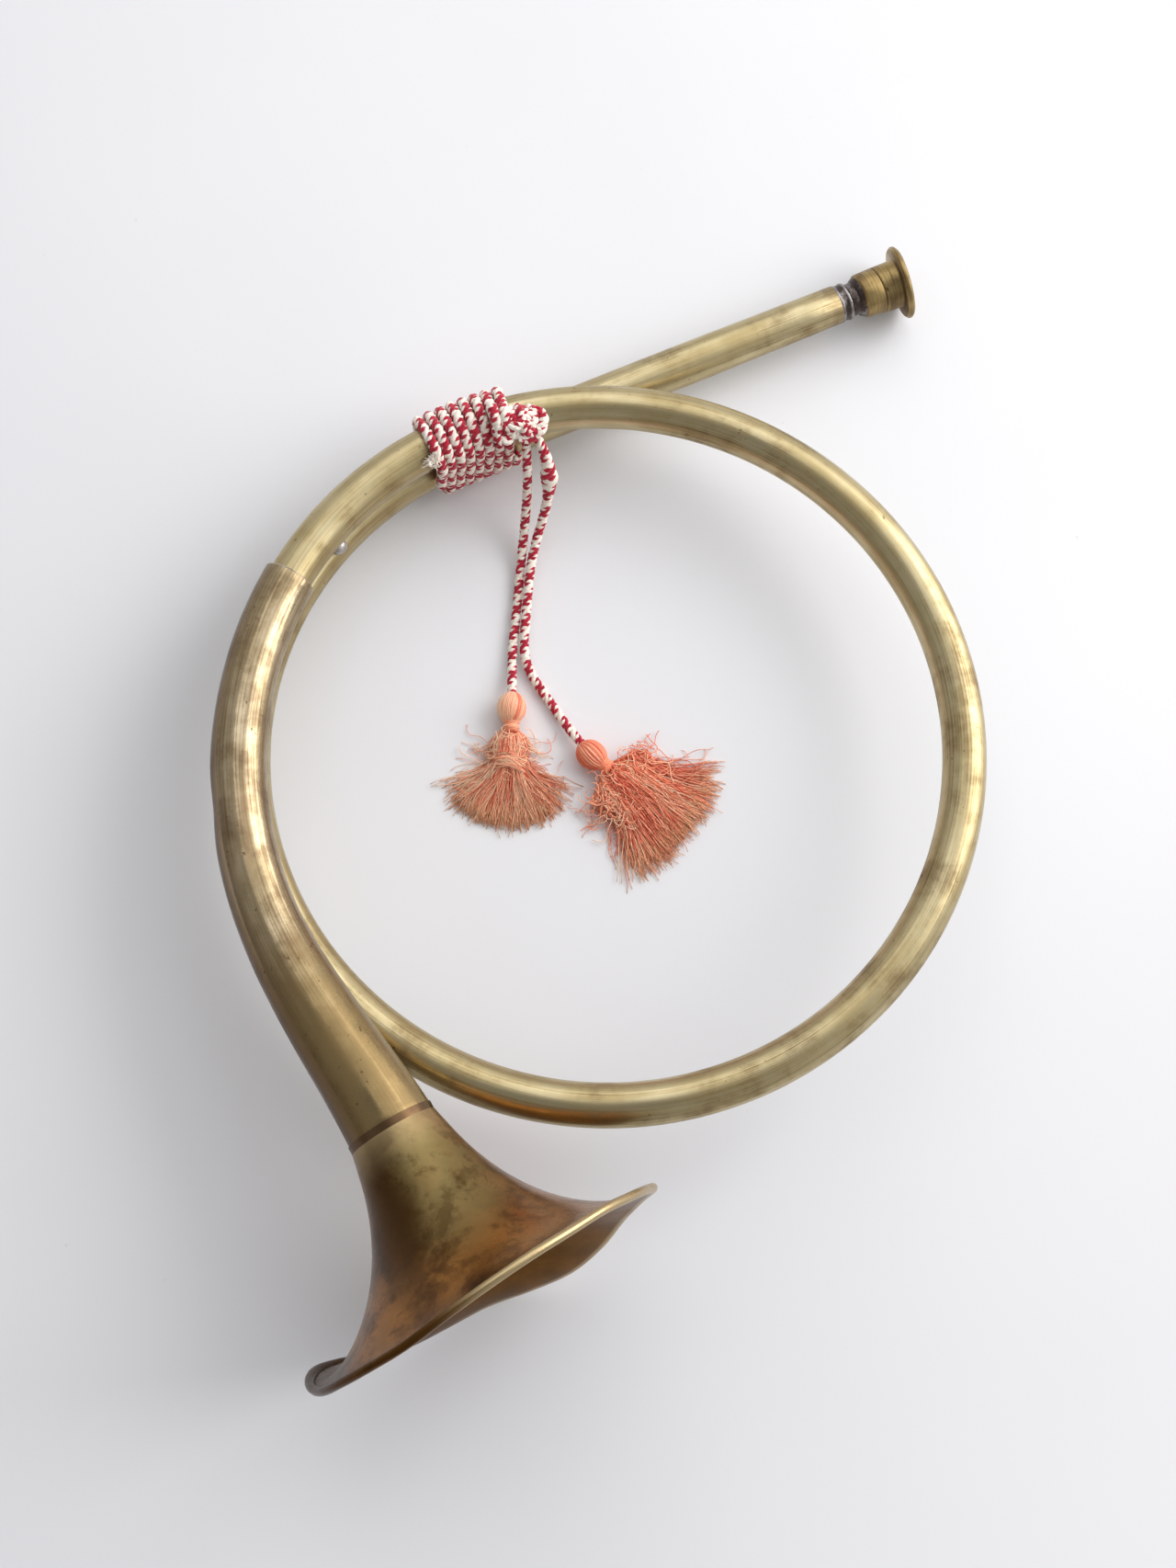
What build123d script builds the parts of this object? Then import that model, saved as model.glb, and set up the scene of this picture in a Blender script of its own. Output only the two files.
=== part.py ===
"""Round hunting bugle: one coil of brass tube, a long mouthpipe, a flared bell and a tasselled cord.

The horn is designed in its coil frame: the coil's axis is Z, the coil starts at height 0 and rises by
one pitch a turn. REST lays it on the surface that it stands on, where it touches with the bell's rim,
the mouthpiece's rim and the cord wrapping. The two free strands and their tassels lie on that surface,
so they are drawn where they lie, in the frame of the finished part: +Z up, +Y towards the mouthpiece.
All lengths are in millimetres and all angles in degrees.
"""
import os
from math import cos, hypot, pi, radians, sin, tan

from build123d import *

# ---------------------------------------------------------------- tubing
TUBE_R = 8.0            # outer radius of the coil's tube
WALL = 0.8              # sheet thickness of the tubing
COIL_R = 130.0          # coil radius, to the tube's centre line
PITCH = 18.4            # rise of the coil in one turn
COIL_START = 111.7      # where the straight mouthpipe meets the coil
COIL_END = 510.0        # where the bell stem's rim stands on the coil's tube
STEM_LAP = 12.0         # how far the coil's tube reaches into the stem

MOUTHPIPE_LENGTH = 158.0
MOUTHPIPE_TAPER = 60.0  # the last stretch narrows towards the mouthpiece
MOUTHPIPE_END_R = 7.5

STEM_SHARES = [0.0, 0.2, 0.4, 0.6, 0.8, 1.0]    # stations along the stem
STEM_RADII = [9.7, 9.8, 10.3, 11.2, 13.4, 15.7]  # outer radius at each station
STEM_BENDS = [(-130.2, 12.0, 22.6), (-131.3, -18.0, 23.6), (-121.8, -62.0, 24.6)]
THROAT = (-80.6, -137.0, 24.9)  # where the stem ends and the flare begins
BELL_HEADING = -62.0    # the bell's direction in the coil's plane
THROAT_R = STEM_RADII[-1]

# ---------------------------------------------------------------- bell
FLARE_WALL = 0.9
FLARE_STATIONS = [(0.0, 15.3), (16.0, 19.0), (30.0, 24.3), (43.0, 32.2), (53.0, 41.6), (60.0, 51.8)]
FLARE_EDGE = (64.0, 63.6)       # axial place and radius where the sheet turns into the rolled rim
ROLL_R = 1.5            # middle of the sheet round the rim wire
RIM_WIRE_R = 1.0
BRAZE_WIDTH = 3.0
BRAZE_HEIGHT = 0.35

# ---------------------------------------------------------------- mouthpiece
COLLAR_LENGTH = 4.3
COLLAR_R = 7.4
COLLAR_GROOVE = 0.35
SPIGOT_DEPTH = 16.0     # the collar's sleeve inside the mouthpipe
SHANK_DEPTH = 15.0
SHANK_R = 5.6           # at the collar's face
SHANK_TIP_R = 5.1
SHANK_FIT = 0.05        # radial running clearance of the shank in the collar
SHOULDER_GAP = 0.3
NECK_R = 6.4
NECK_LENGTH = 5.0
CUP_LENGTH = 14.2
SEAM = 8.0              # from the cup's back to the seam between cup and rim
CUP_BACK_R = 8.6
CUP_FRONT_R = 9.4
FLANGE_R = 14.2
FLANGE_THICK = 2.8
FLANGE_ROUND = 0.9
BORE_R = 2.2            # throat of the mouthpiece
MOUTH_R = 8.7           # opening of the cup

# ---------------------------------------------------------------- cord and tassels
CORD_R = 2.2            # the cord wrapped round both tubes
STRAND_R = 1.8          # the two hanging strands
WRAP_TURNS = 8
WRAP_STEP = 4.55        # spacing of the turns along the tube
WRAP_FIRST = 121.4      # coil angle of the first turn, furthest from the knot
WRAP_GAP = 0.25
KNOT_ANGLE = 102.6
KNOT_SIZE = (15.0, 13.0, 10.5)  # along the tube, across it and up

HEAD_R = 5.7
MOULD_R = 3.3
BINDING_R = 3.4
BINDING = (4.8, 8.4)    # from the head's centre, along the tassel
BASE_GAP = 0.2          # the soft pieces stay this far above the surface
HEAD_HEIGHT = HEAD_R + BASE_GAP
NECK_HEIGHT = 5.4
# each skirt: distance from the binding, width and height of its section
LEFT_SKIRT = [(0.0, 6.4, 6.4), (8.0, 17.0, 8.6), (20.0, 34.0, 8.0), (31.0, 46.0, 6.6), (38.0, 34.0, 5.0)]
RIGHT_SKIRT = [(0.0, 6.4, 6.4), (8.0, 25.0, 9.0), (20.0, 42.0, 8.4), (32.0, 50.0, 7.0), (40.0, 40.0, 5.0)]
LEFT_HEADING = -93.0    # directions in which the tassels point, from +X
RIGHT_HEADING = -40.0

# ---------------------------------------------------------------- how the horn lies, and the free cords
REST = Location((3.07, 10.25, 26.89), (-5.09, -4.05, 1.08))
LEFT_ROUTE = [
    (-25.3, 128.2, 38.5), (-24.9, 122.6, 34.6), (-24.2, 116.2, 28.0), (-23.7, 109.9, 19.6),
    (-23.9, 103.4, 11.2), (-24.4, 95.6, 5.2), (-25.3, 85.4, 2.5), (-26.3, 75.0, 2.0),
    (-27.4, 65.6, 2.2), (-28.6, 56.2, 2.1), (-28.9, 47.6, 2.8), (-29.3, 39.8, 4.4), (-29.5, 32.0, 5.9)]
RIGHT_ROUTE = [
    (-22.6, 128.6, 40.5), (-18.9, 123.4, 37.0), (-16.4, 117.5, 30.5), (-15.6, 111.2, 22.0),
    (-16.9, 104.8, 13.8), (-19.2, 98.0, 8.4), (-20.9, 90.6, 5.6), (-22.1, 82.6, 4.6),
    (-22.9, 74.1, 4.3), (-23.7, 65.9, 4.1), (-24.4, 58.1, 3.6), (-24.1, 51.8, 2.9),
    (-21.9, 46.0, 2.3), (-18.3, 40.2, 2.1), (-14.2, 34.2, 2.2), (-10.2, 28.2, 2.6),
    (-5.9, 21.6, 4.0), (0.3, 14.1, 5.9)]


# ---------------------------------------------------------------- helpers in the coil frame
def on_coil(angle, radius=COIL_R):
    """Point beside the coil's centre line at an angle."""
    height = PITCH * (angle - COIL_START) / 360
    return Vector(radius * cos(radians(angle)), radius * sin(radians(angle)), height)


def along_coil(angle):
    """Direction of travel along the coil, from the mouthpiece to the bell."""
    return Vector(-sin(radians(angle)), cos(radians(angle)), PITCH / (2 * pi * COIL_R)).normalized()


def turned(outline):
    """Solid of revolution about +Z from an outline of (radius, height) corners."""
    corners = [(radius, 0, height) for radius, height in outline]
    return revolve(make_face(Polyline(*corners, close=True)), Axis.Z)


def ring(inner, outer, low, high):
    """Plain round ring about +Z."""
    return turned([(inner, low), (outer, low), (outer, high), (inner, high)])


PIPE_DIRECTION = along_coil(COIL_START) * -1    # from the coil to the mouthpiece
PIPE = Plane(origin=on_coil(COIL_START), z_dir=PIPE_DIRECTION)
MOUTH = Plane(origin=on_coil(COIL_START) + PIPE_DIRECTION * MOUTHPIPE_LENGTH, z_dir=PIPE_DIRECTION)
BELL = Plane(origin=THROAT, z_dir=(cos(radians(BELL_HEADING)), sin(radians(BELL_HEADING)), 0))


# ---------------------------------------------------------------- tubing
def coil_solid(radius, end_angle):
    """Round bar along the coil, from the mouthpipe to an angle."""
    spine = Helix(pitch=PITCH, height=PITCH * (end_angle - COIL_START) / 360, radius=COIL_R)
    spine = Rot(0, 0, COIL_START) * spine
    return sweep(Plane(origin=spine @ 0, z_dir=spine % 0) * Circle(radius), path=spine, is_frenet=True)


def coil_tube():
    """Tube of the coil, a little more than one turn, with its end inside the bell stem."""
    end_angle = COIL_END + STEM_LAP / radians(COIL_R)
    return coil_solid(TUBE_R, end_angle) - coil_solid(TUBE_R - WALL, end_angle)


def mouthpipe():
    """Straight tube from the coil to the mouthpiece, tapered at its free end."""
    taper = MOUTHPIPE_LENGTH - MOUTHPIPE_TAPER
    outer = [(TUBE_R, 0), (TUBE_R, taper), (MOUTHPIPE_END_R, MOUTHPIPE_LENGTH)]
    inner = [(radius - WALL, height) for radius, height in reversed(outer)]
    return PIPE.location * turned(outer + inner)


def stem_spine():
    """Centre line of the bell stem: it follows the coil, then runs straight to the throat."""
    tangents = [along_coil(COIL_END), BELL.z_dir]
    return Spline(on_coil(COIL_END), *STEM_BENDS, THROAT, tangents=tangents)


def stem_solid(spine, inset):
    """Round loft along the stem, its radii reduced by inset."""
    sections = []
    for share, radius in zip(STEM_SHARES, STEM_RADII):
        sections.append(Plane(origin=spine @ share, z_dir=spine % share) * Circle(radius - inset))
    return loft(sections)


def stem_solder():
    """Soft solder between the stem's mouth and the tube, with a small fillet in front of it."""
    gap_out = STEM_RADII[0] - WALL
    fillet = turned([(TUBE_R + 0.1, -1.0), (gap_out + 0.6, 0.0), (gap_out - 0.03, 0.0),
                     (gap_out - 0.03, 4.0), (TUBE_R + 0.1, 4.0)])
    return Plane(origin=on_coil(COIL_END), z_dir=along_coil(COIL_END)).location * fillet


def coil_tack():
    """Drop of solder that ties the coil's two turns together just before the stem."""
    low = on_coil(139.8, COIL_R - 5.0)
    drop = Pos(low + Vector(0, 0, PITCH / 2)) * Sphere(3.4)
    return drop - coil_solid(TUBE_R + 0.03, COIL_END)


# ---------------------------------------------------------------- bell
def flare_line():
    """Middle of the bell's sheet in the (radius, axis) half plane, with the roll at its edge."""
    stations = FLARE_STATIONS + [FLARE_EDGE]
    curve = Spline(*[(radius, 0, place) for place, radius in stations])
    edge = Vector(FLARE_EDGE[1], 0, FLARE_EDGE[0])
    out = curve % 1
    back = Vector(out.Z, 0, -out.X)     # from the sheet's edge to the roll's centre
    centre = edge + back * ROLL_R
    start = edge - centre
    corners = []
    for turn in (0, 75, 150, 225, 300):
        corners.append(centre + start.rotate(Axis.Y, turn))
    roll = [ThreePointArc(corners[0], corners[1], corners[2]),
            ThreePointArc(corners[2], corners[3], corners[4])]
    return curve, roll, centre


def bell_flare():
    """Spun bell with its edge rolled back round the rim wire."""
    curve, roll, _ = flare_line()
    half = Plane(origin=(0, 0, 0), x_dir=(1, 0, 0), z_dir=(0, -1, 0))
    flat = [half.to_local_coords(line) for line in [curve, *roll]]
    sheet = half * trace(flat, line_width=FLARE_WALL)
    return BELL.location * revolve(sheet, Axis.Z)


def rim_wire():
    """Wire inside the rolled rim."""
    _, _, centre = flare_line()
    return BELL.location * (Pos(0, 0, centre.Z) * Torus(centre.X, RIM_WIRE_R))


# ---------------------------------------------------------------- mouthpiece, on the mouthpipe's end
def bore_at(place):
    """Radius of the collar's tapered bore at a place along the mouth axis."""
    share = (COLLAR_LENGTH - place) / (COLLAR_LENGTH + SHANK_DEPTH)
    return SHANK_R + (SHANK_TIP_R - SHANK_R) * share + SHANK_FIT


def receiver_collar():
    """Turned ferrule soldered into the mouthpipe: it receives the mouthpiece's shank."""
    sleeve_r = MOUTHPIPE_END_R - WALL - 0.05
    groove_r = COLLAR_R - COLLAR_GROOVE
    bead = COLLAR_LENGTH / 5
    outline = [(bore_at(-SPIGOT_DEPTH), -SPIGOT_DEPTH), (sleeve_r, -SPIGOT_DEPTH), (sleeve_r, 0)]
    outline += [(COLLAR_R, 0), (COLLAR_R, bead), (groove_r, bead * 1.4), (groove_r, bead * 3.6)]
    outline += [(COLLAR_R, bead * 4), (COLLAR_R, COLLAR_LENGTH), (bore_at(COLLAR_LENGTH), COLLAR_LENGTH)]
    return MOUTH.location * turned(outline)


def mouthpiece_shank():
    """Tapered shank with the neck that stands in front of the collar."""
    shoulder = COLLAR_LENGTH + SHOULDER_GAP
    top = shoulder + NECK_LENGTH
    outline = [(BORE_R, top), (BORE_R, 0), (SHANK_TIP_R - 0.8, -SHANK_DEPTH), (SHANK_TIP_R, -SHANK_DEPTH)]
    outline += [(SHANK_R, shoulder), (NECK_R - 0.4, shoulder), (NECK_R, shoulder + 0.4), (NECK_R, top)]
    return MOUTH.location * turned(outline)


def neck_solder(back):
    """Fillet of solder between the neck and the cup's back."""
    return MOUTH.location * turned([(NECK_R, back - 2.0), (NECK_R + 0.8, back - 1.2),
                                    (CUP_BACK_R - 0.9, back - 0.3), (CUP_BACK_R - 0.7, back),
                                    (NECK_R, back)])


def mouthpiece_cup(back):
    """Back half of the cup, up to the scribed seam."""
    seam = back + SEAM
    seam_r = CUP_BACK_R + (CUP_FRONT_R - CUP_BACK_R) * SEAM / CUP_LENGTH
    outline = [(BORE_R, back), (CUP_BACK_R - 0.7, back), (CUP_BACK_R, back + 0.8)]
    outline += [(seam_r, seam - 0.15), (seam_r - 0.15, seam), (MOUTH_R - 0.9, seam)]
    outline += [(MOUTH_R - 1.6, seam - 2.2), (MOUTH_R - 3.6, seam - 4.4), (BORE_R, back + 1.6)]
    return MOUTH.location * turned(outline)


def mouthpiece_rim(back):
    """Front half of the cup with the broad flat rim."""
    seam = back + SEAM
    seam_r = CUP_BACK_R + (CUP_FRONT_R - CUP_BACK_R) * SEAM / CUP_LENGTH
    step = back + CUP_LENGTH
    face = step + FLANGE_THICK
    outline = [(MOUTH_R - 0.9, seam), (seam_r - 0.15, seam), (seam_r, seam + 0.15), (CUP_FRONT_R, step)]
    outline += [(FLANGE_R - FLANGE_ROUND, step), (FLANGE_R, step + FLANGE_ROUND)]
    outline += [(FLANGE_R, face - FLANGE_ROUND), (FLANGE_R - FLANGE_ROUND, face)]
    outline += [(MOUTH_R + 0.8, face), (MOUTH_R + 0.15, face - 0.5), (MOUTH_R - 0.2, face - 1.4)]
    return MOUTH.location * turned(outline)


# ---------------------------------------------------------------- seam of stem and flare
def bell_braze(stem, flare):
    """Narrow raised seam of hard solder where the flare meets the stem."""
    half = BRAZE_WIDTH / 2
    seam = ring(THROAT_R - WALL / 2, THROAT_R + BRAZE_HEIGHT, -half, half)
    return BELL.location * seam - stem - flare


# ---------------------------------------------------------------- cord wrapping and knot
def lower_tube(angle):
    """Centre of the lower tube beside a coil angle: coil, or the straight mouthpipe before it."""
    if angle >= COIL_START:
        return on_coil(angle)
    return on_coil(angle, COIL_R / cos(radians(COIL_START - angle)))


def cord_wrap():
    """The cord's eight turns round both tubes, swept as one length."""
    reach = TUBE_R + CORD_R + WRAP_GAP
    sides = [(-1, 1), (1, 1), (1, -1), (-1, -1)]    # inner top, outer top, outer bottom, inner bottom
    corners = []
    for corner in range(4 * WRAP_TURNS + 1):
        side, level = sides[corner % 4]
        angle = WRAP_FIRST - WRAP_STEP * (corner / 4) / radians(COIL_R)
        below = lower_tube(angle)
        across = COIL_R if side < 0 else hypot(below.X, below.Y)
        lift = PITCH + reach if level > 0 else -reach
        corners.append(on_coil(angle, across + side * reach) + Vector(0, 0, lift))
    start = corners[0] - Vector(0, 0, PITCH / 2 + reach)
    finish = corners[-1] + (corners[1] - corners[0]).normalized() * reach
    path = FilletPolyline(start, *corners, finish, radius=reach - 0.2)
    return sweep(Plane(origin=path @ 0, z_dir=path % 0) * Circle(CORD_R), path=path)


def cord_knot():
    """Lump of the knot that ends the wrapping, on the inner shoulder of the upper tube."""
    centre = on_coil(KNOT_ANGLE + 360, COIL_R - 6.0) + Vector(0, 0, 9.6)
    lump = scale(Sphere(0.5), by=KNOT_SIZE)
    lump = Location(centre, (0, 0, KNOT_ANGLE + 90)) * lump
    return lump - coil_solid(TUBE_R + 0.05, COIL_END)


# ---------------------------------------------------------------- free strands and tassels, as they lie
def strand(name, route, *ends):
    """Free cord along its route, cut off at the knot and at the tassel's head."""
    points = [Vector(*point) for point in route]
    runs = [after - before for before, after in zip(points, points[1:])]
    radii = []
    for one, two in zip(runs, runs[1:]):
        half_turn = radians(one.get_angle(two)) / 2
        radii.append(0.45 * min(one.length, two.length) / tan(half_turn))
    path = FilletPolyline(*points, radius=radii)
    cord = sweep(Plane(origin=path @ 0, z_dir=path % 0) * Circle(STRAND_R), path=path)
    print(name, "radii", [round(radius, 1) for radius in radii])
    print(name, "length", round(path.length, 1), "volume", round(cord.volume, 1),
          "section x length", round(pi * STRAND_R ** 2 * path.length, 1))
    for end in ends:
        cord = cord - end
    return cord


def tassel(end, heading, stations):
    """Head, mould, binding and skirt of one tassel that lies on the surface."""
    centre = Vector(end[0], end[1], HEAD_HEIGHT)
    direction = Vector(cos(radians(heading)), sin(radians(heading)), 0)
    ball = Pos(centre) * Sphere(HEAD_R)
    mould = Pos(centre) * Sphere(MOULD_R)
    neck = Vector(centre.X, centre.Y, NECK_HEIGHT)
    start = Plane(origin=neck + direction * BINDING[0], z_dir=direction)
    standing = (Align.CENTER, Align.CENTER, Align.MIN)
    binding = start * Cylinder(BINDING_R, BINDING[1] - BINDING[0], align=standing)
    sections = []
    for distance, width, height in stations:
        middle = NECK_HEIGHT if distance == 0 else height / 2 + BASE_GAP
        place = neck + direction * (BINDING[1] + distance)
        origin = (place.X, place.Y, middle)
        plane = Plane(origin=origin, x_dir=(direction.Y, -direction.X, 0), z_dir=direction)
        sections.append(plane * Ellipse(width / 2, height / 2))
    return {"head": ball - mould, "mould": mould, "binding": binding - ball, "skirt": loft(sections)}


# ---------------------------------------------------------------- the whole part
def build():
    """Every sub-part by its node's name, in the frame of the finished part."""
    back = COLLAR_LENGTH + SHOULDER_GAP + NECK_LENGTH
    spine = stem_spine()
    stem = stem_solid(spine, 0) - stem_solid(spine, WALL)
    flare = bell_flare()
    horn = {
        "coil_tube": coil_tube(),
        "mouthpipe": mouthpipe(),
        "bell_stem": stem,
        "stem_solder": stem_solder() - stem,
        "coil_solder_tack": coil_tack(),
        "bell_flare": flare,
        "bell_braze_seam": bell_braze(stem, flare),
        "bell_rim_wire": rim_wire(),
        "receiver_collar": receiver_collar(),
        "mouthpiece_shank": mouthpiece_shank(),
        "mouthpiece_neck_solder": neck_solder(back),
        "mouthpiece_cup": mouthpiece_cup(back),
        "mouthpiece_rim": mouthpiece_rim(back),
        "cord_wrap": cord_wrap(),
        "cord_knot": cord_knot(),
    }
    nodes = {name: REST * shape for name, shape in horn.items()}
    knot = nodes["cord_knot"]
    sides = [
        ("left", LEFT_ROUTE, LEFT_HEADING, LEFT_SKIRT),
        ("right", RIGHT_ROUTE, RIGHT_HEADING, RIGHT_SKIRT),
    ]
    for side, route, heading, skirt in sides:
        pieces = tassel(route[-1], heading, skirt)
        head = Pos(route[-1]) * Sphere(HEAD_R)
        nodes[f"cord_strand_{side}"] = strand(side, route, knot, head)
        for piece, shape in pieces.items():
            nodes[f"tassel_{side}_{piece}"] = shape
    return nodes


if __name__ == "__main__":
    os.makedirs("parts", exist_ok=True)
    for node, shape in build().items():
        export_step(shape, f"parts/{node}.step")
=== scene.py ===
"""Round hunting bugle: a coil of old brass tube, a flared bell, a push-in mouthpiece and a tasselled cord.

Everything is in metres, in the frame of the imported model: +Z up, the horn lying on z = 0.
"""
import logging
import math
from dataclasses import dataclass, field
from enum import Enum
from typing import Dict, List, Optional, Sequence, Tuple, Union

import bpy
import numpy as np
from mathutils import Matrix, Vector


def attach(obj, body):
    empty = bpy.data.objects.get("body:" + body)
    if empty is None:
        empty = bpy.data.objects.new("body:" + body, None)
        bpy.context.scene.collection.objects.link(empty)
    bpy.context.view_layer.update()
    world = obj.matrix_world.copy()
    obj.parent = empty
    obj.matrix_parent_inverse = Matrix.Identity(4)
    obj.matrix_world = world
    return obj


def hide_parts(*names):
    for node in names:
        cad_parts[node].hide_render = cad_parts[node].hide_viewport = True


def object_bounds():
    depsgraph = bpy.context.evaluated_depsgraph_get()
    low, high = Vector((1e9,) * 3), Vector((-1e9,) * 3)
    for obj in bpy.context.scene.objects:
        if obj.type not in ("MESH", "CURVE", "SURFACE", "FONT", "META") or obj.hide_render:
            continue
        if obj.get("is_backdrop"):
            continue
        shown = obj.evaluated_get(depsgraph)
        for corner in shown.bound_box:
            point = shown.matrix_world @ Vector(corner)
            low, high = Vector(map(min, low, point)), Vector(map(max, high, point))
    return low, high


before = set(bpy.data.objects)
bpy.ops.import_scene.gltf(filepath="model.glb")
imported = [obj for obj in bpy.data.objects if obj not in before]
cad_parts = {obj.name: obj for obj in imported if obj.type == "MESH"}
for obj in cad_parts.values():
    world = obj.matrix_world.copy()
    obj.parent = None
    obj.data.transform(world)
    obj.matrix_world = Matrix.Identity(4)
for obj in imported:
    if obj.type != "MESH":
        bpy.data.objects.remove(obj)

LOG = logging.getLogger("bugle")
MM = 0.001
SEED = 1907
UP = (0.0, 0.0, 1.0)
GOLDEN_ANGLE = 2.39996

Colour = Tuple[float, float, float]
Outline = List[Tuple[float, float]]
Point = Tuple[float, float, float]


class Body(Enum):
    """The CAD bodies that pieces ride on."""

    HORN = "horn"
    MOUTHPIECE = "mouthpiece"


class Slot(Enum):
    """The material slots of the record."""

    COIL = "coil_brass"
    STEM = "stem_brass"
    BELL = "bell_brass"
    MOUTHPIECE = "mouthpiece_brass"
    SOLDER = "solder"
    NECK = "neck_metal"
    WIRE = "wire"
    CORD = "twisted_cord"
    SILK = "tassel_silk"
    WOOD = "mould_wood"


# ---------------------------------------------------------------- shader building
class Number:
    """A number in a shader. Arithmetic on it adds Math nodes."""

    def __init__(self, graph: "Graph", socket: bpy.types.NodeSocket) -> None:
        """Wraps one output socket of a graph."""
        self.graph = graph
        self.socket = socket

    def _join(self, operation: str, *values: Union["Number", float]) -> "Number":
        """Adds one Math node.

        Args:
            operation: the Math node's operation.
            values: its inputs in order.

        Returns:
            The node's result.
        """
        inputs = {place: value for place, value in enumerate(values)}
        return self.graph.node("ShaderNodeMath", {"operation": operation}, inputs)["Value"]

    def __add__(self, other: Union["Number", float]) -> "Number":
        """Sum."""
        return self._join("ADD", self, other)

    def __radd__(self, other: float) -> "Number":
        """Sum with a plain number on the left."""
        return self._join("ADD", other, self)

    def __sub__(self, other: Union["Number", float]) -> "Number":
        """Difference."""
        return self._join("SUBTRACT", self, other)

    def __rsub__(self, other: float) -> "Number":
        """Difference with a plain number on the left."""
        return self._join("SUBTRACT", other, self)

    def __mul__(self, other: Union["Number", float]) -> "Number":
        """Product."""
        return self._join("MULTIPLY", self, other)

    def sine(self) -> "Number":
        """Sine of the value in radians."""
        return self._join("SINE", self)

    def above(self, edge: float, softness: float) -> "Number":
        """Soft step.

        Args:
            edge: where the step is half way up.
            softness: how far the step spreads on each side.

        Returns:
            0 below the edge and 1 above it.
        """
        ranges = {0: self, 1: edge - softness, 2: edge + softness}
        settings = {"interpolation_type": "SMOOTHSTEP", "clamp": True}
        return self.graph.node("ShaderNodeMapRange", settings, ranges)["Result"]


class Made:
    """The outputs of a node, by name, as numbers."""

    def __init__(self, graph: "Graph", node: bpy.types.Node) -> None:
        """Wraps one node of a graph."""
        self.graph = graph
        self.node = node

    def __getitem__(self, name: str) -> Number:
        """The output socket of that name."""
        return Number(self.graph, self.node.outputs[name])


class Graph:
    """The node tree of one material."""

    def __init__(self, name: str) -> None:
        """Starts a material with a Principled shader.

        Args:
            name: its name.
        """
        self.material = bpy.data.materials.new(name)
        self.material.use_nodes = True
        self.tree = self.material.node_tree
        self.shader = self.tree.nodes["Principled BSDF"]

    def node(self, kind: str, settings: Optional[dict] = None, inputs: Optional[dict] = None) -> Made:
        """Adds any node.

        Args:
            kind: the node's type.
            settings: its properties, set before the sockets.
            inputs: socket name or place to a value or a Number.

        Returns:
            The node's outputs.
        """
        node = self.tree.nodes.new(kind)
        for name, value in (settings or {}).items():
            if name == "stops":
                self.colour_stops(node.color_ramp, value)
            else:
                setattr(node, name, value)
        for name, value in (inputs or {}).items():
            self.feed(node.inputs[name], value)
        return Made(self, node)

    def feed(self, socket: bpy.types.NodeSocket, value: object) -> None:
        """Links a Number to a socket, or sets its value.

        Args:
            socket: the socket.
            value: a Number, a colour or a plain value.
        """
        if isinstance(value, Number):
            self.tree.links.new(value.socket, socket)
        elif isinstance(value, tuple) and len(value) == 3 and socket.type == "RGBA":
            socket.default_value = (*value, 1.0)
        else:
            socket.default_value = value

    @staticmethod
    def colour_stops(ramp: bpy.types.ColorRamp, stops: Sequence[Tuple[float, Colour]]) -> None:
        """Gives a colour ramp its stops.

        Args:
            ramp: the ramp.
            stops: rows of place and colour.
        """
        while len(ramp.elements) < len(stops):
            ramp.elements.new(1.0)
        for element, (place, colour) in zip(ramp.elements, stops):
            element.position = place
            element.color = (*colour, 1.0)

    def place(self) -> Number:
        """Object coordinates of the shaded point."""
        return self.node("ShaderNodeTexCoord")["Object"]

    def noise(self, scale: float, detail: float = 3.0, rough: float = 0.55,
              at: Optional[Number] = None, bend: float = 0.0) -> Number:
        """Cloudy value between 0 and 1.

        Args:
            scale: features per metre.
            detail: octaves.
            rough: weight of the finer octaves.
            at: coordinates, Object when left out.
            bend: distortion.

        Returns:
            The value.
        """
        inputs = {"Vector": at or self.place(), "Scale": scale, "Detail": detail,
                  "Roughness": rough, "Distortion": bend}
        return self.node("ShaderNodeTexNoise", {}, inputs)["Fac"]

    def stretched(self, scale: Point) -> Number:
        """Object coordinates scaled by a Mapping node."""
        return self.node("ShaderNodeMapping", {}, {"Vector": self.place(), "Scale": scale})["Vector"]

    def joined(self, x: Number, y: Number) -> Number:
        """Coordinates made of two numbers."""
        return self.node("ShaderNodeCombineXYZ", {}, {"X": x, "Y": y, "Z": 0.0})["Vector"]

    def mix(self, share: Union[Number, float], first: object, second: object) -> Number:
        """Blend of two colours.

        Args:
            share: 0 for the first, 1 for the second.
            first: colour or Number.
            second: colour or Number.

        Returns:
            The blended colour.
        """
        made = self.node("ShaderNodeMix", {"data_type": "RGBA"}, {"Factor": share})
        self.feed(made.node.inputs[6], first)
        self.feed(made.node.inputs[7], second)
        return Number(self, made.node.outputs[2])

    def attribute(self, name: str) -> Number:
        """Number stored on the mesh under that name."""
        return self.node("ShaderNodeAttribute", {"attribute_name": name})["Fac"]

    def bump(self, height: Number, strength: float, distance: float,
             under: Optional[Number] = None) -> Number:
        """Normal bent by a height.

        Args:
            height: the height, 0 to 1.
            strength: how much of it shows.
            distance: the depth in metres of a height of 1.
            under: another bump that this one lies on.

        Returns:
            The bent normal.
        """
        inputs = {"Height": height, "Strength": strength, "Distance": distance}
        if under is not None:
            inputs["Normal"] = under
        return self.node("ShaderNodeBump", {}, inputs)["Normal"]

    def finish(self, **sockets: object) -> bpy.types.Material:
        """Feeds the shader's sockets, underscores standing for spaces.

        Args:
            sockets: socket name to value or Number.

        Returns:
            The material.
        """
        for name, value in sockets.items():
            self.feed(self.shader.inputs[name.replace("_", " ")], value)
        return self.material


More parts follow.
